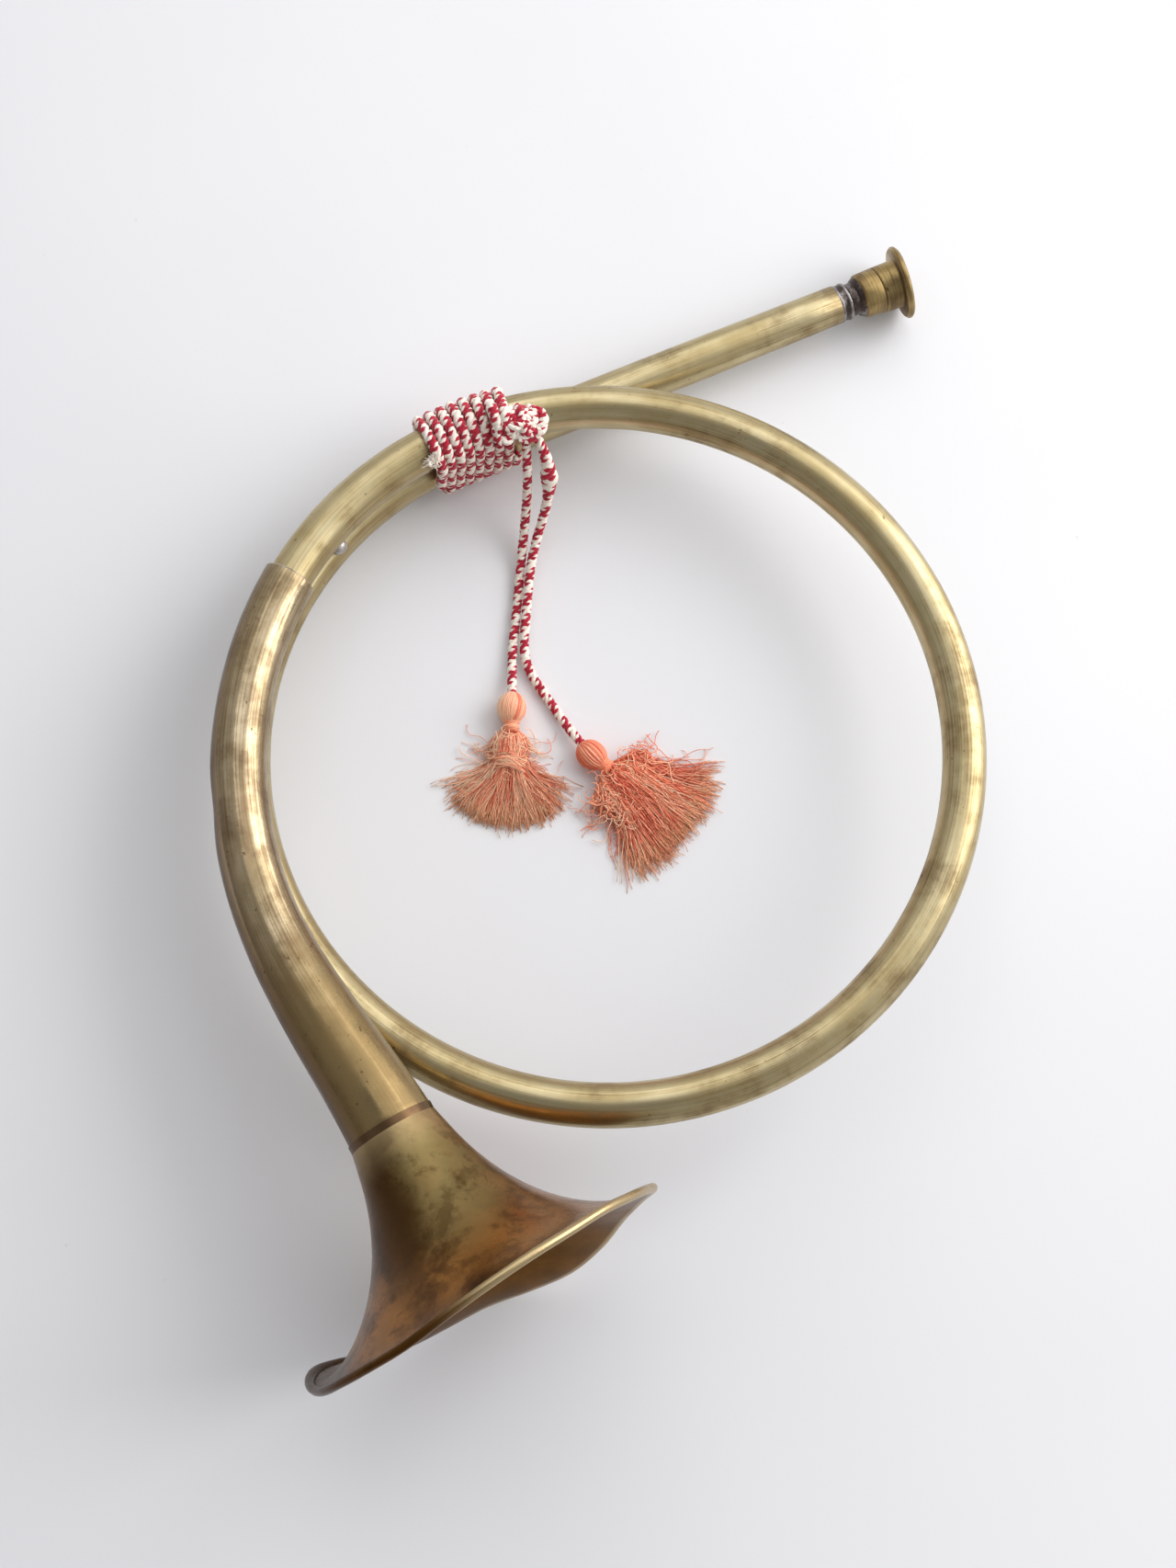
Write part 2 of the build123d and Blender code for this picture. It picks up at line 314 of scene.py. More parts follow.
def srgb(red: int, green: int, blue: int) -> Colour:
    """Linear colour from screen values between 0 and 255, all above the curve's straight foot."""
    return tuple(((value / 255 + 0.055) / 1.055) ** 2.4 for value in (red, green, blue))


# ---------------------------------------------------------------- finishes
@dataclass(frozen=True)
class OldBrass:
    """Unlacquered brass with a grown tarnish.

    Fields give the clean metal, its dull film, its brown stains and its warm patches, how much of each
    there is, and the clean metal's roughness. far_end is the film's colour at the far end of the tube,
    end_stain is extra stain at that end, the field after it is how much painted shade darkens the outer side,
    drawn is how strong the drawing streaks are, and grain is how many there are, along and round the
    tube. The mesh gives each point's distance along the tube, its share of the length and its place round it.
    """

    name: str
    clean: Colour
    film: Colour
    stain: Colour
    warm: Colour
    film_share: float = 0.5
    stain_share: float = 0.3
    warm_share: float = 0.3
    gloss: float = 0.3
    far_end: Optional[Colour] = None
    end_stain: float = 0.0
    outer_painted_shade: float = 0.0
    drawn: float = 1.0
    grain: Tuple[float, float] = (14.0, 34.0)

    def make(self) -> bpy.types.Material:
        """Builds the material.

        Returns:
            The material.
        """
        graph = Graph(self.name)
        along = graph.attribute("along")
        around = graph.attribute("around")
        lines = graph.joined(along * self.grain[0], around * self.grain[1])
        streak = graph.noise(1.0, 3.0, 0.55, at=lines)
        patch = graph.noise(2.2, 4.0, 0.55, at=graph.joined(along * 9.0, around * 1.3))
        broad = graph.noise(16.0, 3.0, 0.5)
        cloud = graph.noise(75.0, 4.0, 0.6)
        grain = graph.noise(1500.0, 2.0, 0.5)
        film = (patch * 0.5 + cloud * 0.25 + streak * 0.25).above(1.0 - self.film_share, 0.13)
        stain = (cloud * 0.45 + broad * 0.3 + streak * 0.25).above(1.0 - self.stain_share, 0.09)
        warm = (broad * 0.6 + patch * 0.4).above(1.0 - self.warm_share, 0.1)
        pits = graph.noise(420.0, 2.0, 0.5).above(0.735, 0.02)
        colour = graph.mix(film, self.clean, self.film)
        colour = graph.mix(warm * 0.6, colour, self.warm)
        colour = graph.mix(stain * 0.7, colour, self.stain)
        colour = graph.mix((streak - 0.5).above(0.08, 0.08) * 0.16, colour, self.stain)
        if self.far_end:
            share = graph.attribute("share")
            colour = graph.mix((share + (broad - 0.5) * 0.3).above(0.72, 0.22) * 0.8, colour, self.far_end)
        if self.end_stain:
            ending = (graph.attribute("share") + (cloud - 0.5) * 0.03).above(0.967, 0.012)
            colour = graph.mix(ending * self.end_stain, colour, self.stain)
        # painted shade: darkens the side of the tube where around is near 0 towards the stain colour, in
        # place of dark edge reflections
        if self.outer_painted_shade:
            outer = 1.0 - (around + (cloud - 0.5) * 0.16).above(0.24, 0.17)
            colour = graph.mix(outer * self.outer_painted_shade, colour, self.stain)
        colour = graph.mix(pits * 0.7, colour, self.stain)
        rough = self.gloss + film * 0.10 + stain * 0.16
        rough = rough + (streak - 0.5) * (0.10 * self.drawn) + (patch - 0.5) * 0.10
        worn = graph.bump(broad * 0.6 + cloud * 0.4, 0.22, 0.0011)
        normal = graph.bump(grain * 0.6 + streak * (0.4 * self.drawn), 0.16, 0.00006, under=worn)
        return graph.finish(Base_Color=colour, Roughness=rough, Metallic=1.0 - stain * 0.3, Normal=normal)


@dataclass(frozen=True)
class BellBrass:
    """The flare's brass: brown all over, with an olive patch on its back and copper towards the edge.

    Painted shade darkens the inside, the curl's hollow, an oval on the left of the back and the bead's left
    half, and a painted highlight lightens the bead's right half. The places are in the flare's own frame,
    kept on the
    mesh: across, up and ahead, in metres.
    """

    name: str = "bell_brass"
    brown: Colour = srgb(130, 90, 42)
    copper: Colour = srgb(160, 108, 54)
    olive: Colour = srgb(126, 116, 78)
    dark: Colour = srgb(66, 42, 18)
    gold: Colour = srgb(188, 168, 128)

    def make(self) -> bpy.types.Material:
        """Builds the material.

        Returns:
            The material.
        """
        graph = Graph(self.name)
        across, rise, ahead = (graph.attribute(name) for name in ("across", "rise", "ahead"))
        inside, bead = graph.attribute("inside"), graph.attribute("bead")
        broad = graph.noise(26.0, 4.0, 0.6, bend=0.6)
        cloud = graph.noise(95.0, 4.0, 0.6)
        grain = graph.noise(1500.0, 2.0, 0.5)
        wobble = (broad - 0.5) * 0.022
        olive = self.spot(graph, across + wobble, ahead, (0.002, 0.024), (0.020, 0.024))
        shade = self.spot(graph, across + wobble, ahead + wobble, (-0.018, 0.024), (0.012, 0.034))
        edge = self.spot(graph, across + wobble, ahead, (0.004, 0.056), (0.060, 0.013))
        upper = rise.above(0.004, 0.008)
        colour = graph.mix(cloud.above(0.52, 0.14), self.brown, self.copper)
        colour = graph.mix(edge * upper * 0.5, colour, self.copper)
        colour = graph.mix(olive * upper * 0.75, colour, self.olive)
        colour = graph.mix(shade * upper * 0.92, colour, self.dark)
        colour = graph.mix((broad * 0.6 + cloud * 0.4).above(0.56, 0.05) * 0.6, colour, self.dark)
        flecks = graph.noise(60.0, 6.0, 0.72, bend=0.3)
        colour = graph.mix(flecks.above(0.55, 0.06) * 0.5, colour, self.dark)
        colour = graph.mix((1.0 - (ahead + wobble * 0.4).above(0.007, 0.009)) * 0.55, colour, self.gold)
        # painted shade: darkens the hollow under the curled lip on the left of the rim
        curl_hollow_shade = (0.0 - across).above(0.050, 0.006) * ahead.above(0.054, 0.004)
        colour = graph.mix(curl_hollow_shade * 0.8, colour, self.dark)
        # painted shade: the flare's inside is darkened to a mottled dark brown
        colour = graph.mix(inside * 0.9, colour, graph.mix(cloud, self.dark, self.brown))
        # painted light: the rim's bead gets a painted highlight on its right half and painted shade on its
        # left half
        right = (across + 0.012).above(0.0, 0.014)
        colour = graph.mix(bead * right * 0.8, colour, self.gold)
        colour = graph.mix(bead * (1.0 - right) * 0.75, colour, self.dark)
        colour = graph.mix(graph.noise(430.0, 2.0, 0.5).above(0.79, 0.02) * 0.45, colour, self.gold)
        rough = 0.28 + olive * 0.16 + (cloud - 0.5) * 0.2 + (flecks - 0.5) * 0.2 + inside * 0.06
        worn = graph.bump(broad * 0.6 + cloud * 0.4, 0.3, 0.0012)
        normal = graph.bump(grain, 0.14, 0.00006, under=worn)
        return graph.finish(Base_Color=colour, Roughness=rough, Metallic=1.0, Normal=normal)

    @staticmethod
    def spot(graph: Graph, one: Number, other: Number, centre: Tuple[float, float],
             size: Tuple[float, float]) -> Number:
        """Soft oval mask.

        Args:
            graph: the material's graph, not used.
            one: first coordinate.
            other: second coordinate.
            centre: middle of the oval.
            size: its half widths.

        Returns:
            1 inside and 0 outside.
        """
        first = (one - centre[0]) * (1.0 / size[0])
        second = (other - centre[1]) * (1.0 / size[1])
        return 1.0 - (first * first + second * second).above(1.0, 0.85)


@dataclass(frozen=True)
class GreySolder:
    """Soft solder or a tinned ferrule: dull grey with rubbed patches, and brighter on the ridges that the
    mesh marks.
    """

    name: str
    dark: Colour
    bright: Colour
    rough: float
    bright_share: float = 0.4

    def make(self) -> bpy.types.Material:
        """Builds the material.

        Returns:
            The material.
        """
        graph = Graph(self.name)
        cloud = graph.noise(260.0, 4.0, 0.6)
        grain = graph.noise(1800.0, 3.0, 0.6)
        ridge = graph.attribute("ridge")
        rubbed = cloud.above(1.0 - self.bright_share, 0.14)
        colour = graph.mix(rubbed * 0.55, self.dark, self.bright)
        colour = graph.mix(ridge * (0.2 + cloud * 0.6), colour, self.bright)
        normal = graph.bump(cloud * 0.7 + grain * 0.3, 0.3, 0.0002)
        rough = self.rough + (grain - 0.5) * 0.2 - ridge * 0.12
        return graph.finish(Base_Color=colour, Roughness=rough, Metallic=0.9, Normal=normal)


@dataclass(frozen=True)
class TwistedYarn:
    """Cotton cord of white, crimson and mixed plies. The mesh says which ply a point belongs to."""

    name: str = "twisted_cord"
    white: Colour = srgb(253, 248, 240)
    ivory: Colour = srgb(236, 219, 203)
    crimson: Colour = srgb(196, 34, 58)
    wine: Colour = srgb(144, 18, 44)

    def make(self) -> bpy.types.Material:
        """Builds the material.

        Returns:
            The material.
        """
        graph = Graph(self.name)
        ply = graph.attribute("ply")
        along = graph.attribute("along")
        side, top = graph.attribute("side"), graph.attribute("top")
        mottle = graph.noise(1300.0, 3.0, 0.6)
        fibre = self.twist(along * -5200.0 + mottle * 2.0, side, top)
        lanes = self.twist(along * -3000.0 + mottle * 1.2, side, top)
        pale = graph.mix(mottle.above(0.5, 0.2), self.white, self.ivory)
        red = graph.mix(mottle.above(0.52, 0.16), self.crimson, self.wine)
        mixed = lanes.above(0.47, 0.12)
        is_red = ply.above(0.75, 0.05)
        is_mixed = ply.above(0.25, 0.05) * (1.0 - is_red)
        share = is_red + is_mixed * mixed
        colour = graph.mix(share, pale, red)
        depth = fibre * 0.7 + mottle * 0.3
        normal = graph.bump(depth, 0.55, 0.00022)
        graph.shader.inputs["Sheen Weight"].default_value = 0.35
        graph.shader.inputs["Sheen Roughness"].default_value = 0.5
        graph.shader.inputs["Specular IOR Level"].default_value = 0.2
        return graph.finish(Base_Color=colour, Roughness=0.85, Metallic=0.0, Normal=normal)

    @staticmethod
    def twist(phase: Number, side: Number, top: Number) -> Number:
        """Stripes that wind round a ply.

        Args:
            phase: the stripe's angle, in radians, where side is 1.
            side: cosine of the place round the ply.
            top: sine of the place round the ply.

        Returns:
            0 to 1.
        """
        return (phase.sine() * side + (phase + math.pi / 2).sine() * top) * 0.5 + 0.5


@dataclass(frozen=True)
class FadedSilk:
    """Silk of a tassel, bleached unevenly. The mesh gives each thread its tint and how near its tip is."""

    name: str = "tassel_silk"
    pale: Colour = srgb(255, 212, 176)
    middle: Colour = srgb(250, 146, 104)
    deep: Colour = srgb(218, 84, 54)
    tan: Colour = srgb(226, 168, 120)

    def make(self) -> bpy.types.Material:
        """Builds the material.

        Returns:
            The material.
        """
        graph = Graph(self.name)
        tint = graph.attribute("tint")
        tip = graph.attribute("tip")
        patch = graph.noise(110.0, 3.0, 0.55)
        fleck = graph.noise(1600.0, 2.0, 0.5)
        value = tint * 0.70 + patch * 0.30 + (fleck - 0.5) * 0.16
        stops = [(0.16, self.deep), (0.47, self.middle), (0.78, self.pale)]
        colour = graph.node("ShaderNodeValToRGB", {"stops": stops}, {"Fac": value})["Color"]
        colour = graph.mix((tip + (patch - 0.5) * 0.5).above(0.86, 0.16) * 0.6, colour, self.tan)
        normal = graph.bump(fleck, 0.3, 0.0001)
        graph.shader.inputs["Sheen Weight"].default_value = 0.25
        graph.shader.inputs["Specular IOR Level"].default_value = 0.6
        return graph.finish(Base_Color=colour, Roughness=0.42 + fleck * 0.2, Metallic=0.0, Normal=normal)


@dataclass(frozen=True)
class TurnedWood:
    """Plain turned wood of the moulds inside the tassel heads."""

    name: str = "mould_wood"
    light: Colour = srgb(205, 170, 120)
    dark: Colour = srgb(150, 105, 60)

    def make(self) -> bpy.types.Material:
        """Builds the material.

        Returns:
            The material.
        """
        graph = Graph(self.name)
        grain = graph.noise(1.0, 4.0, 0.6, at=graph.stretched((300.0, 300.0, 2600.0)))
        colour = graph.mix(grain.above(0.5, 0.2), self.light, self.dark)
        return graph.finish(Base_Color=colour, Roughness=0.6, Normal=graph.bump(grain, 0.3, 0.0002))


@dataclass(frozen=True)
class PaintedBoard:
    """The pale painted surface that the horn lies on."""

    name: str = "painted_board"
    white: Colour = srgb(233, 233, 236)
    shade: Colour = srgb(226, 226, 230)

    def make(self) -> bpy.types.Material:
        """Builds the material.

        Returns:
            The material.
        """
        graph = Graph(self.name)
        cloud = graph.noise(3.0, 3.0, 0.5)
        speck = graph.noise(260.0, 2.0, 0.4).above(0.80, 0.02)
        colour = graph.mix(cloud.above(0.5, 0.3), self.white, self.shade)
        colour = graph.mix(speck * 0.25, colour, srgb(190, 188, 184))
        return graph.finish(Base_Color=colour, Roughness=0.62 + cloud * 0.1)


class Finishes:
    """Every finish of the horn, made once."""

    def __init__(self) -> None:
        """Builds the materials."""
        self.coil = OldBrass(
            "coil_brass", clean=srgb(198, 184, 147), film=srgb(172, 154, 112), stain=srgb(104, 80, 48),
            warm=srgb(184, 156, 110), film_share=0.52, stain_share=0.42, gloss=0.30, end_stain=0.45).make()
        self.stem = OldBrass(
            "stem_brass", clean=srgb(194, 178, 150), film=srgb(154, 136, 104), stain=srgb(84, 58, 34),
            warm=srgb(164, 130, 104), far_end=srgb(138, 116, 74), film_share=0.56, stain_share=0.47,
            warm_share=0.38, gloss=0.13, outer_painted_shade=0.85, drawn=0.2).make()
        self.bell = BellBrass().make()
        self.mouthpiece = OldBrass(
            "mouthpiece_brass", clean=srgb(180, 158, 108), film=srgb(150, 126, 82), stain=srgb(78, 56, 38),
            warm=srgb(140, 108, 70), film_share=0.55, stain_share=0.44, gloss=0.28,
            grain=(1500.0, 1.2)).make()
        self.solder = GreySolder("solder", dark=srgb(166, 160, 156), bright=srgb(240, 238, 238), rough=0.42,
                                 bright_share=0.5).make()
        self.neck = GreySolder("neck_metal", dark=srgb(72, 62, 58), bright=srgb(186, 182, 180), rough=0.34,
                               bright_share=0.38).make()
        self.wire = GreySolder("rim_wire", dark=srgb(70, 66, 64), bright=srgb(120, 116, 112),
                               rough=0.5).make()
        self.cord = TwistedYarn().make()
        self.silk = FadedSilk().make()
        self.wood = TurnedWood().make()
        self.board = PaintedBoard().make()


# ---------------------------------------------------------------- modelling helpers
class Bench:
    """Modelling steps that several pieces share."""

    @staticmethod
    def clear() -> None:
        """Leaves object mode with nothing selected."""
        if bpy.context.object and bpy.context.object.mode != "OBJECT":
            bpy.ops.object.mode_set(mode="OBJECT")
        bpy.ops.object.select_all(action="DESELECT")

    @staticmethod
    def pick(piece: bpy.types.Object) -> None:
        """Selects one object alone and makes it active.

        Args:
            piece: the piece.
        """
        Bench.clear()
        piece.select_set(True)
        bpy.context.view_layer.objects.active = piece

    @staticmethod
    def apply(piece: bpy.types.Object, kind: str, **settings: object) -> None:
        """Adds a modifier with its settings and applies it.

        Args:
            piece: the piece.
            kind: the modifier's type.
            settings: the modifier's settings.
        """
        Bench.pick(piece)
        modifier = piece.modifiers.new(kind.lower(), kind)
        for name, value in settings.items():
            setattr(modifier, name, value)
        bpy.ops.object.modifier_apply(modifier=modifier.name)

    @staticmethod
    def tidy(piece: bpy.types.Object, merge: float = 1e-6) -> None:
        """Merges doubles and turns the faces outwards.

        Args:
            piece: the piece.
            merge: how close together doubles lie, in metres.
        """
        Bench.pick(piece)
        bpy.ops.object.mode_set(mode="EDIT")
        bpy.ops.mesh.select_all(action="SELECT")
        bpy.ops.mesh.remove_doubles(threshold=merge)
        bpy.ops.mesh.normals_make_consistent(inside=False)
        bpy.ops.object.mode_set(mode="OBJECT")

    @staticmethod
    def settle(piece: bpy.types.Object, place: Matrix) -> None:
        """Puts a piece in its place and applies the place to its mesh.

        Args:
            piece: the piece.
            place: its matrix.
        """
        piece.matrix_world = place
        Bench.pick(piece)
        bpy.ops.object.transform_apply(location=True, rotation=True, scale=True)

    @staticmethod
    def smooth(piece: bpy.types.Object, angle: float = 32.0) -> None:
        """Shades a piece smooth except at its sharp edges."""
        Bench.pick(piece)
        bpy.ops.object.shade_smooth_by_angle(angle=math.radians(angle))

    @staticmethod
    def note(piece: bpy.types.Object, **values: np.ndarray) -> None:
        """Keeps numbers on the mesh for its material, one for each vertex.

        Args:
            piece: the piece.
            values: attribute name to its numbers.
        """
        for name, value in values.items():
            layer = piece.data.attributes.new(name, "FLOAT", "POINT")
            layer.data.foreach_set("value", np.asarray(value, dtype=np.float32))

    @staticmethod
    def places(piece: bpy.types.Object) -> np.ndarray:
        """The mesh's vertices, one a row.

        Args:
            piece: the piece.

        Returns:
            The places in metres.
        """
        points = np.zeros(len(piece.data.vertices) * 3)
        piece.data.vertices.foreach_get("co", points)
        return points.reshape(-1, 3)

    @staticmethod
    def move(piece: bpy.types.Object, points: np.ndarray) -> None:
        """Moves the mesh's vertices to the places given, one a row."""
        piece.data.vertices.foreach_set("co", points.reshape(-1))
        piece.data.update()

    @staticmethod
    def note_tube(piece: bpy.types.Object, length: float) -> None:
        """Keeps along, around and share for a straight piece that stands on +Z.

        Args:
            piece: the piece.
            length: its length in metres.
        """
        points = Bench.places(piece)
        around = np.abs(np.arctan2(points[:, 1], points[:, 0])) / math.pi
        Bench.note(piece, along=points[:, 2], around=around, share=points[:, 2] / length)

    @staticmethod
    def rings(name: str, outline: Outline, segments: int) -> bpy.types.Object:
        """Raises rings about +Z by extruding and scaling a circle.

        Args:
            name: the piece's name.
            outline: radius and height of each ring in millimetres.
            segments: points round each ring.

        Returns:
            The open surface.
        """
        Bench.clear()
        radius, height = outline[0]
        bpy.ops.mesh.primitive_circle_add(vertices=segments, radius=radius * MM, location=(0, 0, height * MM))
        piece = bpy.context.object
        piece.name = name
        bpy.ops.object.transform_apply(location=True, rotation=True, scale=True)
        bpy.ops.object.mode_set(mode="EDIT")
        bpy.ops.mesh.select_all(action="SELECT")
        for next_radius, next_height in outline[1:]:
            rise = {"value": (0.0, 0.0, (next_height - height) * MM)}
            bpy.ops.mesh.extrude_region_move(TRANSFORM_OT_translate=rise)
            share = next_radius / radius
            bpy.ops.transform.resize(value=(share, share, 1.0), center_override=(0.0, 0.0, next_height * MM))
            radius, height = next_radius, next_height
        bpy.ops.object.mode_set(mode="OBJECT")
        return piece

    @staticmethod
    def turn(name: str, outline: Outline, segments: int = 64, edge: float = 0.12) -> bpy.types.Object:
        """Turned solid about +Z from the closed outline of its section.

        Args:
            name: the piece's name.
            outline: radius and height of each corner in millimetres.
            segments: points round it.
            edge: width of the broken edges in millimetres.

        Returns:
            The closed piece.
        """
        piece = Bench.rings(name, outline + [outline[0]], segments)
        Bench.tidy(piece)
        if edge > 0:
            Bench.apply(piece, "BEVEL", width=edge * MM, segments=2, limit_method="ANGLE",
                        angle_limit=math.radians(25))
        Bench.smooth(piece)
        return piece


class Threads:
    """Round threads of one mesh along many lines."""

    def __init__(self, name: str) -> None:
        """Starts an empty bundle.

        Args:
            name: its name.
        """
        self.name = name
        self.points: List[np.ndarray] = []
        self.faces: List[Tuple[int, ...]] = []
        self.values: Dict[str, List[np.ndarray]] = {}
        self.count = 0

    def add(self, lines: np.ndarray, radii: np.ndarray, sides: int, **values: np.ndarray) -> None:
        """Adds threads that have the same number of points.

        Args:
            lines: thread, point, xyz in metres.
            radii: thread, point.
            sides: corners round each thread.
            values: attribute name to a value for each thread and point.
        """
        many, length, _ = lines.shape
        tangent = np.gradient(lines, axis=1)
        tangent /= np.linalg.norm(tangent, axis=2, keepdims=True) + 1e-12
        helper = np.where(np.abs(tangent[:, 0, 2:3]) < 0.9, [[0.0, 0.0, 1.0]], [[1.0, 0.0, 0.0]])
        normal = np.cross(tangent[:, 0], helper)
        turns = np.arange(sides) * 2 * math.pi / sides
        grid = np.zeros((many, length, sides, 3))
        for step in range(length):
            now = tangent[:, step]
            normal = normal - (normal * now).sum(1, keepdims=True) * now
            normal /= np.linalg.norm(normal, axis=1, keepdims=True) + 1e-12
            across = np.cross(now, normal)
            spread = (normal[:, None] * np.cos(turns)[None, :, None]
                      + across[:, None] * np.sin(turns)[None, :, None])
            grid[:, step] = lines[:, step][:, None] + spread * radii[:, step][:, None, None]
        self.points.append(grid.reshape(-1, 3))
        index = np.arange(many * length * sides).reshape(many, length, sides) + self.count
        ahead = np.roll(index, -1, axis=2)
        quads = np.stack([index[:, :-1], ahead[:, :-1], ahead[:, 1:], index[:, 1:]], axis=-1)
        self.faces.extend(map(tuple, quads.reshape(-1, 4).tolist()))
        self.faces.extend(map(tuple, index[:, 0, ::-1].tolist()))
        self.faces.extend(map(tuple, index[:, -1].tolist()))
        for key, value in values.items():
            full = np.broadcast_to(value[:, :, None], (many, length, sides)) if value.ndim == 2 else value
            self.values.setdefault(key, []).append(np.ascontiguousarray(full).reshape(-1))
        self.count += many * length * sides

    def make(self) -> bpy.types.Object:
        """Builds the object.

        Returns:
            The object.
        """
        mesh = bpy.data.meshes.new(self.name)
        mesh.from_pydata(np.concatenate(self.points).tolist(), [], self.faces)
        for key, parts in self.values.items():
            layer = mesh.attributes.new(key, "FLOAT", "POINT")
            layer.data.foreach_set("value", np.concatenate(parts).astype(np.float32))
        mesh.polygons.foreach_set("use_smooth", [True] * len(mesh.polygons))
        mesh.update()
        piece = bpy.data.objects.new(self.name, mesh)
        bpy.context.scene.collection.objects.link(piece)
        return piece


def dress(piece: bpy.types.Object, material: bpy.types.Material, body: Body,
          stands_for: Sequence[str] = ()) -> bpy.types.Object:
    """Gives a finished piece its material and body.

    Args:
        piece: the piece, in its place.
        material: its finish.
        body: the body that it rides on.
        stands_for: the CAD nodes that it replaces.

    Returns:
        The piece.
    """
    piece.data.materials.clear()
    piece.data.materials.append(material)
    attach(piece, body.value)
    if stands_for:
        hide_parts(*stands_for)
    LOG.info("%s: %d faces on %s", piece.name, len(piece.data.polygons), body.value)
    return piece


def keep_node(name: str, material: bpy.types.Material) -> None:
    """Gives a carried-over CAD node its finish.

    Args:
        name: the node's name.
        material: its finish.
    """
    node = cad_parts[name]
    node.data.materials.clear()
    node.data.materials.append(material)
    LOG.info("%s: CAD node kept", name)


# ---------------------------------------------------------------- the coil's own frame
def pointing(direction: Vector) -> Matrix:
    """Turn that takes +Z to a direction."""
    return direction.to_track_quat("Z", "Y").to_matrix().to_4x4()


@dataclass(frozen=True)
class CoilFrame:
    """Frame in which the horn is laid out: the coil's axis is Z. Millimetres and degrees.

    The coil climbs by one pitch a turn, from its start to its end, and laps into the stem. shift and lean
    carry this frame to the resting horn.
    """

    radius: float = 130.0
    pitch: float = 18.4
    start: float = 111.7
    end: float = 510.0
    lap: float = 12.0
    tube_r: float = 8.0
    wall: float = 0.8
    shift: Point = (3.07, 10.25, 26.89)
    lean: Point = (-5.09, -4.05, 1.08)

    def rest(self) -> Matrix:
        """Matrix from this frame, in metres, to the resting horn."""
        turns = [Matrix.Rotation(math.radians(angle), 4, axis) for angle, axis in zip(self.lean, "XYZ")]
        return Matrix.Translation(Vector(self.shift) * MM) @ turns[0] @ turns[1] @ turns[2]

    def point(self, angle: float, radius: Optional[float] = None) -> Vector:
        """Point beside the coil's centre line, in millimetres.

        Args:
            angle: angle round the coil in degrees.
            radius: distance from the coil's axis, that of the centre line when left out.

        Returns:
            The point.
        """
        reach = self.radius if radius is None else radius
        turn = math.radians(angle)
        height = self.pitch * (angle - self.start) / 360
        return Vector((reach * math.cos(turn), reach * math.sin(turn), height))

    def heading(self, angle: float) -> Vector:
        """Direction of travel along the coil towards the bell.

        Args:
            angle: angle round the coil in degrees.

        Returns:
            The direction.
        """
        turn = math.radians(angle)
        rise = self.pitch / (2 * math.pi * self.radius)
        return Vector((-math.sin(turn), math.cos(turn), rise)).normalized()

    def facing(self, origin: Vector, direction: Vector) -> Matrix:
        """Matrix that lays a piece turned about +Z at a place of this frame, along a direction.

        Args:
            origin: the place in millimetres.
            direction: where the piece's +Z goes.

        Returns:
            The matrix into the resting horn's frame.
        """
        return self.rest() @ Matrix.Translation(origin * MM) @ pointing(direction)

    def mouth(self) -> Tuple[Vector, Vector]:
        """Origin and direction of the mouthpipe at the coil."""
        return self.point(self.start), -self.heading(self.start)


COIL = CoilFrame()


# ---------------------------------------------------------------- tubing
@dataclass
class Tubing:
    """The coil and the straight mouthpipe."""

    finishes: Finishes
    mouthpipe_length: float = 158.0
    mouthpipe_taper: float = 60.0
    mouthpipe_end_r: float = 7.5
    taper_steps: int = 4
    segments: int = 56
    steps: int = 300

    def coil(self) -> bpy.types.Object:
        """The coil, a circle driven round and up the axis.

        Returns:
            The finished piece.
        """
        Bench.clear()
        bpy.ops.mesh.primitive_circle_add(vertices=self.segments, radius=COIL.tube_r * MM)
        piece = bpy.context.object
        piece.name = "coil"
        start = Matrix.Translation(COIL.point(COIL.start) * MM)
        piece.matrix_world = start @ pointing(COIL.heading(COIL.start))
        bpy.ops.object.transform_apply(location=True, rotation=True, scale=True)
        sweep = COIL.end + math.degrees(COIL.lap / COIL.radius) - COIL.start
        Bench.apply(piece, "SCREW", axis="Z", angle=math.radians(sweep), steps=self.steps,
                    render_steps=self.steps, screw_offset=COIL.pitch * sweep / 360 * MM,
                    use_smooth_shade=True)
        Bench.tidy(piece)
        Bench.apply(piece, "SOLIDIFY", thickness=COIL.wall * MM, offset=-1.0)
        points = Bench.places(piece)
        turn = np.arctan2(points[:, 1], points[:, 0])
        reach = np.hypot(points[:, 0], points[:, 1]) - COIL.radius * MM
        level = points[:, 2] - COIL.pitch * MM * (np.degrees(turn) - COIL.start) / 360
        level = level - np.round(level / (COIL.pitch * MM)) * COIL.pitch * MM
        around = np.abs(np.arctan2(level, reach)) / math.pi
        Bench.note(piece, along=np.abs(turn) * COIL.radius * MM, around=around, share=np.zeros(len(turn)))
        Bench.settle(piece, COIL.rest())
        Bench.smooth(piece, 60.0)
        return dress(piece, self.finishes.coil, Body.HORN, ["coil_tube"])

    def mouthpipe(self) -> bpy.types.Object:
        """The straight tube to the mouthpiece, tapered at its end.

        Returns:
            The finished piece.
        """
        taper = self.mouthpipe_length - self.mouthpipe_taper
        outer = [(COIL.tube_r, 0.0), (COIL.tube_r, taper * 0.5), (COIL.tube_r, taper)]
        for step in range(1, self.taper_steps + 1):
            share = step / self.taper_steps
            radius = COIL.tube_r + (self.mouthpipe_end_r - COIL.tube_r) * share
            outer.append((radius, taper + self.mouthpipe_taper * share))
        inner = [(radius - COIL.wall, height) for radius, height in reversed(outer)]
        piece = Bench.turn("mouthpipe_tube", outer + inner, self.segments, 0.15)
        Bench.note_tube(piece, self.mouthpipe_length * MM)
        Bench.settle(piece, COIL.facing(*COIL.mouth()))
        return dress(piece, self.finishes.coil, Body.HORN, ["mouthpipe"])

    def build(self) -> None:
        """Builds both tubes and finishes the drop of solder between the turns."""
        self.coil()
        self.mouthpipe()
        keep_node("coil_solder_tack", self.finishes.solder)


